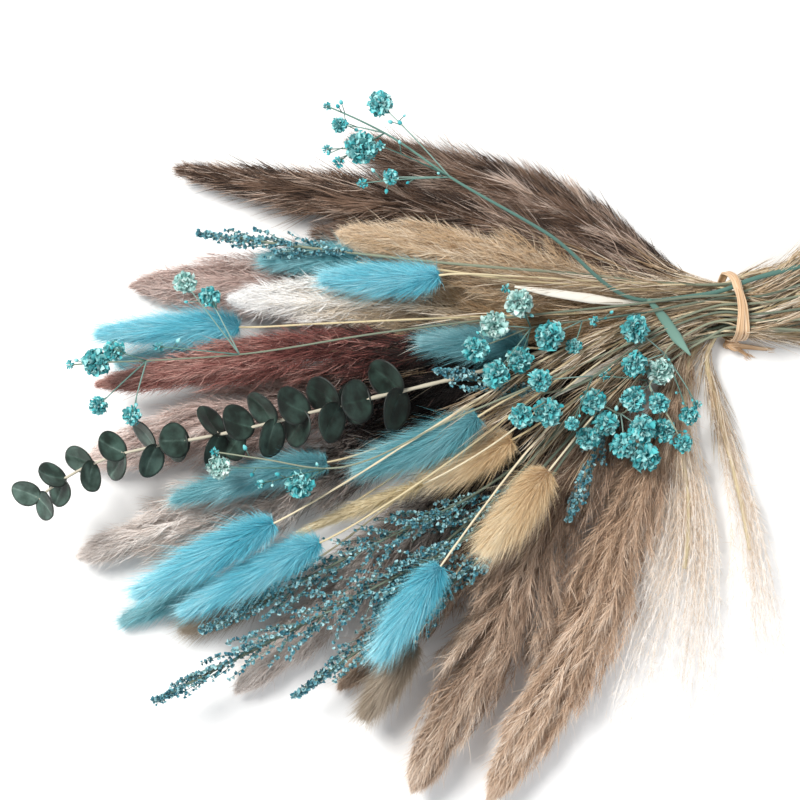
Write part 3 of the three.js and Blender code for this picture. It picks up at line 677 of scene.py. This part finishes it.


# For each look: the name of its material, its shades at the roots and at the tips of the hairs
# from darkest to lightest, and its sheen and roughness where they differ. Roots are darker than
# tips: partly the hairs' own colour, partly painted shade deep in a head, with painted highlight
# on the lightest tips.
FIBRES = {
    "tan": ("pampas_tan_hair", "6b5342 937762 bb9f85 dfc8b0", "a48973 cbb099 ead5c1 fdf3e7"),
    "peach": ("pampas_peach_hair", "83664f ab8c72 d0b195 ead3ba", "bd9d81 dfc3a8 f4e0cb fff7ed"),
    "wisp": ("pampas_wisp_hair", "c9ad8e e6d8c8 f8f3ee", "d9c3aa efe5da fdfaf7"),
    "pale": ("pampas_pale_hair", "86766d cfc1b8 efe5de", "afa096 eadfd8 fffaf6"),
    "blush": ("pampas_blush_hair", "745750 c6aaa1 ead6cd", "9f8279 e7d3ca fff5f0"),
    "mauve": ("pampas_mauve_hair", "1c0908 672e2b b1766b", "5f2926 b8776c f8d3c6"),
    "cream": ("pampas_cream_hair", "9a7a56 cfb896 fdfbf8", "c4a782 efe4d2 ffffff"),
    "sand": ("pampas_sand_hair", "9d7b55 cbab84 ead6b8", "cfae85 efdbbe fff8ea"),
    # near-black hairs for the feet of plumes near the tie: painted shade
    "painted_shade": ("pampas_dark_hair", "0f0a09 241814 4a3730", "1e1411 3d2b24 7a6055"),
    "umber": ("reed_umber_hair", "1b110b 33231a 5d4433 b89c86", "32221a 5c4434 a48570 fae9dc"),
    "turquoise": ("bunny_turquoise_hair", "1c93ab 46bcd2 83e2f0", "52c2d8 93e2f0 e2fbfe", 0.3),
    "teal": ("bunny_teal_hair", "25757f 4497a5 6cb8c2", "52a5b1 86c8d1 c8eaed", 0.3),
    "buff": ("bunny_buff_hair", "b98e5c d9b583 efd5a6", "e2c292 f8e4bd fffbe9", 0.3),
    "natural": ("bunny_natural_hair", "6d5d4b 8d7b66 ac9b86", "958572 b7a793 d8ccbc", 0.3),
    "straw": ("dry_stem", "a08c68 c6b48c e0d4b6", "ab9872 d0c19c ebe2ca"),
    "blade": ("straw_blade", "cfc3a6 e6dcc6 f4eee2", "d8cdb3 ece4d2 faf6ee"),
    "olive": ("dry_green_stem", "414f44 667060 8b8e76", "4a594d 737d6c 9c9f88"),
    "fibre": ("dry_sheath_fibre", "7d6448 b39878 e2d2ba", "9c8061 ceb797 f7eedf"),
    "green": ("dyed_green_stem", "33524a 4f736a 7b978e", "3f6058 5f8479 8ca99f"),
    "floret": ("sea_lavender_floret", "164657 3c7f8d 7fb1b6", "2f7486 6fadb8 c3e3e5"),
    "petal": ("gypsophila_petal", "086674 17929c 46b7bd", "26a5ae 62cacd cdf3ef"),
    "white_petal": ("gypsophila_pale_petal", "3f9a9a 6db8b3 97d0c8", "8fcbc6 bfe2dc eef9f4"),
    "foxtail": ("foxtail_bristle", "a58f61 c6b183 ddcba2", "d6c59b e9dcbb f8f1dd"),
    "bark": ("eucalyptus_stem", "8d8672 b5ad98 d9d3c2", "a09983 c5beab e8e3d6"),
    "raffia": ("raffia_strip", "a8845f c9a37d e0c3a0", "b8936c d8b48e edd3b4", 0.15, (0.45, 0.75)),
    "leaf": ("long_green_leaf", "44695c 5d8275 739988", "587d70 7a9d90 9bb8a9"),
}
LOOKS = {key: fibre(*row) for key, row in FIBRES.items()}
LOOKS["eucalyptus"] = bloomy("eucalyptus_leaf", "080e0b 17281f 3c564b", "1c2d25 456056 8ba499")


# ---- stage, light and camera
def stage():
    bpy.ops.mesh.primitive_plane_add(size=8, location=(0, 0, 0))
    floor = bpy.context.object
    floor.name = "floor"
    look, tree, shader = nodes_of("pale_table")
    paint = ramp(tree, noise(tree, 3.0), [(0.3, "f4f4f3"), (0.7, "fafafa")])
    feed(tree, shader, Base_Color=paint, Roughness=0.9)
    floor.data.materials.append(look)
    world = bpy.data.worlds.new("studio")
    bpy.context.scene.world = world
    world.use_nodes = True
    sky = world.node_tree.nodes["Background"]
    feed(world.node_tree, sky, Color=(0.93, 0.96, 1.0, 1), Strength=0.45)


def lamp(name, place, target, size, power, tint=(1, 1, 1)):
    light = bpy.data.lights.new(name, "AREA")
    light.size = size
    light.energy = power
    light.color = tint
    thing = placed(name, light)
    thing.location = place
    way = Vector(target) - Vector(place)
    thing.rotation_euler = way.to_track_quat("-Z", "Y").to_euler()


VIEW_MIDDLE = TIE[:2] + (-168.5, -47.5)  # what the camera looks straight down on
VIEW_ACROSS = 400.0
VIEW_HEIGHT = 30.0
LENS, SENSOR = 85.0, 36.0


def camera():
    made = bpy.data.cameras.new("camera")
    made.lens = LENS
    made.sensor_width = SENSOR
    thing = placed("camera", made)
    distance = VIEW_ACROSS * LENS / SENSOR + VIEW_HEIGHT
    thing.location = (VIEW_MIDDLE[0] * MM, VIEW_MIDDLE[1] * MM, distance * MM)
    bpy.context.scene.camera = thing


stage()
middle = (VIEW_MIDDLE[0] * MM, VIEW_MIDDLE[1] * MM, 0.03)
lamp("key", (-0.75, 0.65, 1.3), middle, 0.55, 30, (1, 0.98, 0.95))
lamp("fill", (0.9, -0.5, 1.1), middle, 1.2, 7)
camera()
bpy.context.scene.view_settings.view_transform = "Standard"

# ---- the pieces
BUNNY_LOOK = {"bunny_turquoise": "turquoise", "bunny_teal": "teal", "bunny_buff": "buff"}
NATURAL_TAILS = ("bunny_tail_14", "bunny_tail_15")
CUT_REACH = 5.0  # how far fibres may stand out past the cut end


def sheath(piece, spine, start, end, look, count, away=(0.8, 1.6), size=(12, 30)):
    """Loose dry fibres that hug a stem."""
    draw = piece.draw
    s = draw.uniform(start, end, count)
    angle = draw.uniform(0, tau, count)
    ahead, across, up = spine.frames(s)
    outward = np.cos(angle)[:, None] * across + np.sin(angle)[:, None] * up
    beyond = s > spine.tie
    loose = np.clip((np.abs(s - spine.tie) - 3) / 25, 0, 1)
    gap = spine.width(s) * (0.8 + loose * draw.uniform(*away, count))
    root = spine.at(s) + outward * gap[:, None]
    flip = np.where(beyond, 1.0, -1.0)[:, None]
    way = flip * ahead + (0.16 * loose[:, None]) * outward
    way = unit(way + 0.09 * draw.standard_normal((count, 3)))
    length = draw.uniform(*size, count)
    length = np.where(beyond, length, np.minimum(length, s + CUT_REACH))
    ribbons(piece, root, way, length, draw.uniform(0.2, 0.6, count), outward,
            draw.random(count), look, 0.07 * draw.standard_normal((count, 3)), 3)


# For each plume: its look, how many branches, how wide the hairs stand, how the shade changes
# to the tip and down to the foot (where it darkens, painted shade near the tie), and the look of
# the foot where that differs, a near-black painted shade.
PLUMES = {
    "pampas_plume_1": ("tan", 460, 1.55, 0.45, -0.25, None),
    "pampas_plume_2": ("peach", 500, 1.5, 0.3, 0.1, None),
    "pampas_plume_3": ("tan", 320, 1.5, 0.0, -0.4, "painted_shade"),
    "pampas_plume_6": ("pale", 360, 1.6, 0.5, -0.3, "painted_shade"),
    "pampas_plume_7": ("pale", 400, 1.5, 0.8, -0.3, "painted_shade"),
    "pampas_plume_8": ("blush", 400, 1.5, 1.0, -0.3, "painted_shade"),
    "pampas_plume_9": ("mauve", 380, 1.5, 0.6, -0.3, "painted_shade"),
    "pampas_plume_10": ("blush", 360, 1.6, 0.0, -0.3, "painted_shade"),
    "pampas_plume_11": ("cream", 400, 1.4, 1.6, -0.3, None),
    "pampas_plume_12": ("sand", 480, 1.4, 0.1, 0.0, None),
}
WISPS = {"pampas_plume_4": (85, 32), "pampas_plume_5": (38, 15)}  # strands and how far they spread


def make_plume(piece, node):
    spine, start = spine_of(node)
    if kind_of(node) == "reed_plume":
        plume(piece, spine, start, "umber", 460, 84, reach=(20, 40), size=(9, 17), width=0.44,
              spread=0.2, foot=6, loose=1.4, foot_tint=0.1, stray=0.12, clump=0.85)
    elif node in PLUMES:
        look, branches, loose, tip_tint, foot_tint, painted_shade_look = PLUMES[node]
        plume(piece, spine, start, look, branches, loose=loose, tip_tint=tip_tint,
              foot_tint=foot_tint, painted_shade_look=painted_shade_look)
    else:
        strands, across_by = WISPS[node]
        wisps(piece, spine, start, "wisp", strands, across_by, 7)
    stem(piece, spine, 0, start + 60, "straw")
    sheath(piece, spine, 2, start, "fibre", 420)


def make_bunny_tail(piece, node):
    spine, start = spine_of(node)
    look = "natural" if node in NATURAL_TAILS else BUNNY_LOOK[RECORD_SLOT[node]]
    reach = spine.widths.max()
    core(piece, spine, start, spine.length - 3, 0.42, look)
    fur(piece, spine, start, look, 16000, (0.85 * reach, 1.35 * reach), 0.19, 0.6, 0.45, 0.1)
    stem(piece, spine, 0, start + 2, "straw", 6)
    end = spine.tie + 0.6 * (start - spine.tie)
    sheath(piece, spine, 20, end, "fibre", 320, (1, 5), (8, 24))


def twig(piece, places, radii, look, tint, sides=5):
    """A thin tube on a smooth line through places."""
    spine = Spine(places)
    s = np.linspace(0, spine.length, max(3, int(spine.length / 3)))
    tube(piece, spine.at(s), np.interp(s, [0, spine.length], radii), look, tint, sides)


def bud(piece, centre, way, radius, look, tint):
    """A small closed bud, longer than wide."""
    t = np.array([-1.2, -0.9, -0.3, 0.4, 1.0, 1.3]) * radius
    wide = np.array([0.15, 0.7, 1.0, 0.85, 0.4, 0.1]) * radius
    tube(piece, centre + t[:, None] * way, wide, look, tint, 6)


GOLDEN_TURN = 2.399963  # the angle from each petal to the next, which spaces them evenly


def blossom(piece, centre, radius, look, petals):
    """A ruffled double flower: small cupped petals all round a centre."""
    draw = piece.draw
    k = np.arange(petals)
    z = 1 - 2 * (k + 0.5) / petals
    turn = k * GOLDEN_TURN + draw.uniform(0, 6.28)
    flat = np.sqrt(1 - z * z)
    way = np.column_stack([flat * np.cos(turn), flat * np.sin(turn), z])
    way = unit(way + 0.3 * draw.standard_normal((petals, 3)))
    spin = unit(draw.standard_normal((petals, 3)))
    wide = unit(np.cross(way, spin))
    thick = np.cross(wide, way)
    reach = radius * draw.uniform(0.78, 1.1, petals)
    half = radius * draw.uniform(0.17, 0.27, petals)
    u, v = np.meshgrid(np.array([-1.0, 0.0, 1.0]), np.array([0.3, 0.6, 0.85, 1.0]), indexing="xy")
    u, v = u.reshape(-1), v.reshape(-1)
    shape = np.array([0.35, 0.9, 1.0, 0.55]).repeat(3) * u
    frill = 0.22 * radius * draw.standard_normal((petals, len(u))) * v**2
    cup = radius * draw.uniform(-0.25, 0.3, petals)
    points = (
        centre
        + way[:, None] * (reach[:, None] * (v - 0.05 * u * u))[..., None]
        + wide[:, None] * (half[:, None] * shape)[..., None]
        + thick[:, None] * (cup[:, None] * (v**2 + 0.6 * u * u) + 0.6 * frill)[..., None]
    ).reshape(-1, 3)
    faces = (np.arange(petals)[:, None, None] * 12 + sheet(4, 3)).reshape(-1, 4)
    # petals that face upwards get a lighter shade: painted light from above
    tint = np.repeat(np.clip(draw.random(petals) * 0.7 + 0.3 * (way[:, 2] > 0), 0, 1), 12)
    # along each petal the colour runs from a dark base, painted shade deep in the flower, to a
    # near-white edge, painted highlight
    along = np.tile((v - 0.3) / 0.7, petals) * np.repeat(draw.uniform(0.6, 1, petals), 12)
    piece.add(points, [faces], tint, along, look, np.tile(u, petals))


# How many flowers of a spray are pale, after its largest one.
PALE_FLOWERS = {"gypsophila_spray_2": 2, "gypsophila_spray_6": 1, "gypsophila_spray_7": 1,
                "gypsophila_spray_3": 1}
FULL_FLOWER = 2.8  # flowers of a greater radius have a second ring of petals inside


def make_spray(piece, node):
    draw = piece.draw
    points, flowers, lines, place = branches_of(node)
    balls = [ball_of(points[members]) for members in flowers]
    rim = points[points[:, 0] > points[:, 0].max() - END_REACH]
    thick = np.linalg.norm(rim - rim.mean(axis=0), axis=1).mean()
    order = sorted(range(len(lines)), key=lambda i: -len(lines[i]))
    drawn = set()
    largest = sorted(range(len(balls)), key=lambda i: -balls[i][1])
    pale = largest[1 : 1 + PALE_FLOWERS.get(node, 0)]
    for rank, i in enumerate(order):
        line = lines[i]
        middle, radius = balls[i]
        place[line[-1]] = middle
        known = [k for k, g in enumerate(line[:-1]) if g in drawn]
        start = known[-1] if known else 0
        span = [place[g] for g in line[start:]]
        drawn |= set(line[:-1])
        radii = (0.8 * thick, 0.4) if rank == 0 else (0.5, 0.3)
        bark = "green" if rank or node == "gypsophila_spray_1" else "olive"
        twig(piece, span, radii, bark, draw.random(), 6 if rank == 0 else 4)
        way = unit(span[-1] - span[-2])
        neck = middle - way * radius * np.array([0.95, 0.6, 0.2])[:, None]
        tube(piece, neck, np.array([0.4, 0.28 * radius, 0.3 * radius]), "green", 0.4, 6)
        look = "white_petal" if i in pale else "petal"
        if radius > FULL_FLOWER:
            blossom(piece, middle, radius * 1.18, look, int(60 + 12 * radius))
            blossom(piece, middle, radius * 0.85, look, 50)
        else:
            blossom(piece, middle, radius * 1.15, look, 22)
        for _ in range(draw.integers(1, 4)):
            at = span[-2] + (span[-1] - span[-2]) * draw.uniform(0.1, 0.75)
            side = unit(way + 0.9 * draw.standard_normal(3) + 0.3 * UP)
            end = at + side * draw.uniform(4, 8)
            twig(piece, [at, at + side * 2.5 + 0.6 * UP, end], (0.34, 0.25), "green", 0.5, 3)
            bud(piece, end, side, draw.uniform(0.7, 1.25), "petal", draw.random())
    if node == "gypsophila_spray_1":
        long_leaf(piece, points)


# Places along the narrow leaf, from the tie, with its half-width at each.
LONG_LEAF = np.array([[-44.0, 3, 1.0], [-36, -6, 2.6], [-29, -16, 3.0], [-22, -25, 0.5]])
LEAF_LIFT = 3.0  # the leaf lies over the stems beside it


def long_leaf(piece, points):
    """The narrow leaf on the top spray, from the place where it leaves the stem."""
    places = []
    for x, y, _ in LONG_LEAF:
        near = np.linalg.norm(points[:, :2] - (TIE[:2] + (x, y)), axis=1).argsort()[:4]
        places.append([*(TIE[:2] + (x, y)), points[near, 2].mean() + LEAF_LIFT])
    spine = Spine(places, LONG_LEAF[:, 2])
    s = np.linspace(0, spine.length, 22)
    tube(piece, spine.at(s), spine.width(s), "leaf", heights=0.35)


def make_sea_lavender(piece, node):
    draw = piece.draw
    spine, start = spine_of(node)
    end = spine.length
    stem(piece, spine, 0, end - 2, "olive", 6, 0.35)
    count = int((end - start) / 2.1)
    origin = np.linspace(start - 12, end - 5, count) + draw.uniform(-2, 2, count)
    extent = np.minimum(draw.uniform(14, 30, count), end + 3 - origin)
    angle = np.arange(count) * 2.4 + draw.uniform(-0.5, 0.5, count)
    outer = draw.uniform(0.6, 1.6, count)
    for o, e, a, r in zip(origin, extent, angle, outer):
        q = np.linspace(0, 1, 7)
        line = spine.around(o + e * q, a + 0.6 * q, r * q**0.8)
        tube(piece, line, np.linspace(0.32, 0.16, 7), "green", draw.random(), 3)
        florets(piece, spine, o, e, a, r, int(e * 0.8))


def florets(piece, spine, origin, extent, angle, outer, count):
    """Papery cups set close along one side branch."""
    draw = piece.draw
    q = draw.uniform(0.2, 1.02, count)
    base = spine.around(origin + extent * q, angle + 0.6 * q, outer * q**0.8)
    way = unit(0.5 * UP + draw.standard_normal((count, 3)))
    size = draw.uniform(0.9, 1.7, count)
    side = unit(np.cross(way, UP + 0.01))
    other = np.cross(way, side)
    petals = 7
    k = np.arange(petals)
    turn = tau * k / petals
    wide = size[:, None] * (0.62 + 0.2 * (k % 2))
    top = base + way * size[:, None]
    rim = off(top, side, wide * np.cos(turn), other, wide * np.sin(turn))
    points = np.concatenate([base[:, None], rim], axis=1).reshape(-1, 3)
    start = (np.arange(count) * (petals + 1))[:, None, None]
    cups = start + np.stack([np.zeros(petals, int), 1 + k, 1 + (k + 1) % petals], axis=1)
    tint = np.repeat(draw.random(count), petals + 1)
    along = np.tile(np.concatenate([[0.0], 0.7 + 0.3 * (k % 2)]), count)
    side = np.tile([0] + [1, -1] * 3 + [1], count)
    piece.add(points, [cups.reshape(-1, 3)], tint, along, "floret", side)


def make_foxtail(piece, node):
    spine, start = spine_of(node)
    core(piece, spine, start, spine.length - 2, 0.4, "foxtail", 7)
    fur(piece, spine, start, "foxtail", 900, (3, 5), 0.8, 0.7, 0.35)
    fur(piece, spine, start, "foxtail", 1500, (8, 12), 0.16, 0.7, 0.4)
    stem(piece, spine, 0, start + 4, "straw", 6)


BLADE_THICK = 0.25  # half of it, past the stem


def make_blade(piece, node):
    spine, start = spine_of(node)
    s = np.linspace(0, spine.length, 60)
    flat = np.where(s > start, BLADE_THICK, spine.heights[0])
    line = spine.at(s) + np.sin(s / 17)[:, None] * 0.4 * UP
    tube(piece, line, spine.width(s), "blade", 0.8, 8, np.minimum(flat, spine.height(s)))


LEAF_EDGES = (3.0, 13.5)  # the shortest and longest edge of a face of a round leaf
LEAF_FACES = 6  # the fewest faces of a pair of leaves
SPRIG_STATIONS = 110


def make_sprig(piece, node):
    draw = piece.draw
    points, _, faces = welded(node)
    pairs = lumps(points, faces, *LEAF_EDGES, LEAF_FACES)
    pairs.sort(key=lambda members: -points[members][:, 0].mean())
    leafy = np.isin(np.arange(len(points)), np.concatenate(pairs))
    bare = points[~leafy]
    neck = points[pairs[0]].mean(axis=0)
    bare = bare[bare[:, 0] > neck[0] + 14]
    knots = [bare[np.abs(bare[:, 0] - x) < 1.5].mean(axis=0) for x in stations(bare[:, 0])]
    knots += [points[members].mean(axis=0) for members in pairs]
    spine = Spine(knots)
    s = np.linspace(0, spine.length, SPRIG_STATIONS)
    track = spine.at(s)
    bark = 1 + 0.1 * draw.standard_normal(SPRIG_STATIONS)
    tube(piece, track, np.interp(s, [0, spine.length], (1.5, 0.7)) * bark, "bark")
    for rank, members in enumerate(pairs):
        both = points[members]
        _, _, axes = np.linalg.svd(both - both.mean(axis=0))
        one = (both - both.mean(axis=0)) @ axes[0] > 0
        round_leaf(piece, both[one], track, rank / len(pairs))
        round_leaf(piece, both[~one], track, rank / len(pairs))


def stations(x):
    """The separate values of x, largest first, each met at least three times."""
    x = np.sort(x)[::-1]
    starts = np.flatnonzero(np.diff(x, prepend=x[0] + 99) < -1.5)
    return [x[a:b].mean() for a, b in zip(starts, [*starts[1:], len(x)]) if b - a >= 3]


LEAF_RISE = 0.5  # how far each round leaf is turned to face upwards
LEAF_MOST = 12.0  # the greatest radius of a leaf
LEAF_THICK = 0.45
LEAF_GRID = (7, 30)  # its rings of points, and the points in each


def round_leaf(piece, rim, track, outwards):
    """A round leaf in the plane of its CAD disc, cupped, with a midrib and a thin edge.

    The leaves grow paler outwards, from 0 at the neck to 1 at the tip."""
    draw = piece.draw
    middle = rim.mean(axis=0)
    _, _, axes = np.linalg.svd(rim - middle)
    normal = axes[2] * (1 if axes[2][2] >= 0 else -1)
    flat = (rim - middle) @ axes[:2].T
    outside = flat[np.linalg.norm(flat, axis=1) > 0.5 * np.linalg.norm(flat, axis=1).max()]
    centre, radius = ball_of(outside)
    radius = min(radius, LEAF_MOST)
    middle = middle + centre @ axes[:2]
    joint = track[np.linalg.norm(track - middle, axis=1).argmin()]
    normal = unit(normal + LEAF_RISE * UP)
    out = middle - joint
    out = unit(out - (out @ normal) * normal)
    middle = joint + 0.93 * radius * out
    side = np.cross(normal, out)
    rows, turns = LEAF_GRID
    share = np.linspace(0, 1, rows + 1)[1:]
    turn = tau * np.arange(turns) / turns
    edge = radius * (1 + 0.03 * np.sin(3 * turn + draw.uniform(0, 6)) - 0.07 * np.cos(turn))
    x = share[:, None] * (edge * np.cos(turn))
    y = share[:, None] * (edge * np.sin(turn))
    cup = draw.uniform(0.05, 0.16) * radius
    wave = 0.05 * radius * draw.uniform(0.3, 1) * np.sin(2 * turn + draw.uniform(0, 6))
    height = cup * share[:, None] ** 2 + wave * share[:, None] ** 3
    height = height - 0.03 * radius * np.exp(-((y / (0.07 * radius)) ** 2)) * (x > -0.9 * radius)
    top = middle + x[..., None] * out + y[..., None] * side + height[..., None] * normal
    top = top.reshape(-1, 3)
    heart = middle - 0.05 * radius * normal
    thick = LEAF_THICK * normal
    points = np.vstack([heart, top, heart - thick, top - thick])
    a, b = 1 + belts(rows, turns)
    upper = np.stack([a, a + turns, b + turns, b], axis=1)
    n = 1 + rows * turns
    t = np.arange(turns)
    fan = np.column_stack([np.zeros(turns, int), 1 + t, 1 + (t + 1) % turns])
    rim_a, rim_b = fan[:, 1:].T + (rows - 1) * turns
    wall = np.column_stack([rim_a, rim_a + n, rim_b + n, rim_b])
    vein = np.concatenate([[1.0], np.exp(-((y / (0.05 * radius)) ** 2)).reshape(-1)])
    shade = np.clip(0.05 + 0.45 * outwards + draw.uniform(0, 0.25) + 0.3 * vein, 0, 1)
    reach = np.concatenate([[0.0], np.repeat(share, turns)])
    faces = [np.vstack([upper, upper[:, ::-1] + n, wall]), np.vstack([fan, fan[:, ::-1] + n])]
    piece.add(points, faces, np.tile(shade, 2), np.tile(reach, 2), "eucalyptus")
    stalk = [joint, (joint + middle - radius * 0.9 * out) / 2, middle - radius * 0.75 * out]
    tube(piece, stalk, np.array([0.55, 0.5, 0.35]), "bark", 0.5, 5)


def outline_of(node):
    """The outer line of the band, as angles round its middle with a distance for each."""
    points, _, _ = welded(node)
    flat = points[:, 1:] - TIE[1:]
    angles = np.linspace(-np.pi, np.pi, 121)
    away = np.array([
        min((flat @ [np.cos(f), np.sin(f)]).max() / max(np.cos(f - a), 0.3)
            for f in a + np.linspace(-0.6, 0.6, 25)) for a in angles])
    return angles, away


# The turns of the band: for each its shift along the stems, width, lift and slant.
STRIPS = ((0.0, 4.4, 0, 0), (-0.9, 3.0, 0.5, 1.3), (1.0, 2.6, 0.45, -1.6), (0.2, 1.6, 0.85, 0.8))
STRIP_THICK = 0.45
TILT = 3.2  # how far the top of the band leans towards the cut ends
SLANT = -2.5  # and how far its far side is turned towards the heads


def make_band(piece, node):
    draw = piece.draw
    angles, away = outline_of(node)
    columns = 7
    share = np.linspace(-0.5, 0.5, columns)
    for shift, wide, lift, slant in STRIPS:
        across = share * wide
        crown = 0.25 * np.cos(np.pi * share) + 0.07 * draw.standard_normal(columns)
        lean = TILT * np.sin(angles) + shift + (slant + SLANT) * np.cos(angles)
        lean = lean + 0.2 * np.sin(5 * angles + shift)
        narrow = 1 + 0.12 * np.sin(3 * angles + 4 * shift)
        outer = away[:, None] + lift + crown + 0.15 * np.sin(7 * angles + shift)[:, None]
        x = TIE[0] + lean[:, None] + across * narrow[:, None]
        shell = []
        for reach in (outer, outer - STRIP_THICK):
            y = TIE[1] + reach * np.cos(angles)[:, None]
            z = TIE[2] + reach * np.sin(angles)[:, None]
            shell.append(np.stack([x, y, z], axis=-1))
        loop_of_strip(piece, *shell, draw.random(columns))


def loop_of_strip(piece, top, under, tints):
    """A flat strip from two sheets of points, closed along its edges and ends."""
    n, m = top.shape[:2]
    points = np.concatenate([top.reshape(-1, 3), under.reshape(-1, 3)])
    face = sheet(n, m)
    low = n * m
    i = np.arange(n - 1) * m
    left = np.stack([i, i + m, i + m + low, i + low], axis=1)
    right = np.stack([i + m - 1, i + m - 1 + low, i + 2 * m - 1 + low, i + 2 * m - 1], axis=1)
    j = np.arange(m - 1)
    near = np.stack([j, j + low, j + 1 + low, j + 1], axis=1)
    far = np.stack([j, j + 1, j + 1 + low, j + low], axis=1) + np.array([(n - 1) * m] * 4)
    tint = np.tile(np.tile(tints, n), 2)
    along = np.tile(np.repeat(0.5 + 0.5 * np.sin(np.linspace(0, 9, n)), m), 2)
    faces = np.vstack([face, face[:, ::-1] + low, left, right, near, far])
    piece.add(points, [faces], tint, along, "raffia")


def flat_strip(piece, line, wide, thick, twist):
    """A loose strip of raffia along a line, turning by twist."""
    line = np.asarray(line, float)
    n, columns = len(line), 6
    ahead = unit(np.gradient(line, axis=0))
    across = unit(np.cross(UP, ahead))
    up = np.cross(ahead, across)
    turn = np.linspace(*twist, n)[:, None]
    level = across * np.cos(turn) + up * np.sin(turn)
    proud = np.cross(ahead, level)
    share = np.linspace(-0.5, 0.5, columns)
    crown = 0.3 * np.cos(np.pi * share) + 0.05 * piece.draw.standard_normal(columns)
    spread = share * np.broadcast_to(wide, (n,))[:, None]
    top = line[:, None] + level[:, None] * spread[..., None] + proud[:, None] * crown[:, None]
    loop_of_strip(piece, top, top - thick * proud[:, None], piece.draw.random(columns))


KNOT_LOOPS = ((0.2, 3.6), (1.3, 3.3), (2.3, 3.0), (-0.6, 3.1))  # how each leans, and its size
FRAY = 14  # loose fibres at each end of the tie


def make_knot(piece, node):
    draw = piece.draw
    points, _, _ = welded(node)
    far = points[:, 1].max()
    level = points[points[:, 1] > far - 5, 2].mean()
    middle = np.array([TIE[0] - 0.8 * SLANT, far - 4.2, level])
    for k, (lean, size) in enumerate(KNOT_LOOPS):
        turn = np.linspace(0, tau, 25)
        axis_a = np.array([np.cos(lean), 0.3 * np.sin(lean), np.sin(lean)])
        axis_b = unit(np.cross(axis_a, [0.2, 1, 0.3 * k]))
        ring = middle + size * (np.cos(turn)[:, None] * axis_a + np.sin(turn)[:, None] * axis_b)
        flat_strip(piece, ring, 2.4, 0.4, (0.2 * k, 0.5))
    heart = middle + np.linspace(-3, 3, 5)[:, None] * [1, 0, 0]
    tube(piece, heart, np.array([0.6, 2.2, 2.8, 2.2, 0.6]), "raffia", 0.4, 9)
    right = points[points[:, 0] > points[:, 0].max() - END_REACH].mean(axis=0)
    front = points[points[:, 1] < points[:, 1].min() + END_REACH].mean(axis=0)
    for end, twist in ((right, (0.1, 1.0)), (front, (-0.2, -0.9))):
        t = np.linspace(0, 1, 18)[:, None]
        line = middle + (end - middle) * t + UP * (2.0 * np.sin(np.pi * t) * (1 - t))
        flat_strip(piece, line, np.linspace(3.0, 2.2, 18), 0.35, twist)
        n = FRAY
        root = end + 0.8 * draw.standard_normal((n, 3)) * [1, 1, 0.2]
        way = unit(unit(end - middle) + 0.25 * draw.standard_normal((n, 3)) * [1, 1, 0.3])
        ribbons(piece, root, way, draw.uniform(2, 5, n), np.full(n, 0.25), UP,
                draw.random(n), "raffia")


MAKERS = {
    "pampas_plume": make_plume,
    "reed_plume": make_plume,
    "bunny_tail": make_bunny_tail,
    "gypsophila_spray": make_spray,
    "sea_lavender": make_sea_lavender,
    "foxtail": make_foxtail,
    "straw_blade": make_blade,
    "eucalyptus_sprig": make_sprig,
    "raffia_band": make_band,
    "raffia_knot": make_knot,
}
for node in frame["nodes"]:
    piece = Piece(node)
    MAKERS[kind_of(node)](piece, node)
    piece.finish()
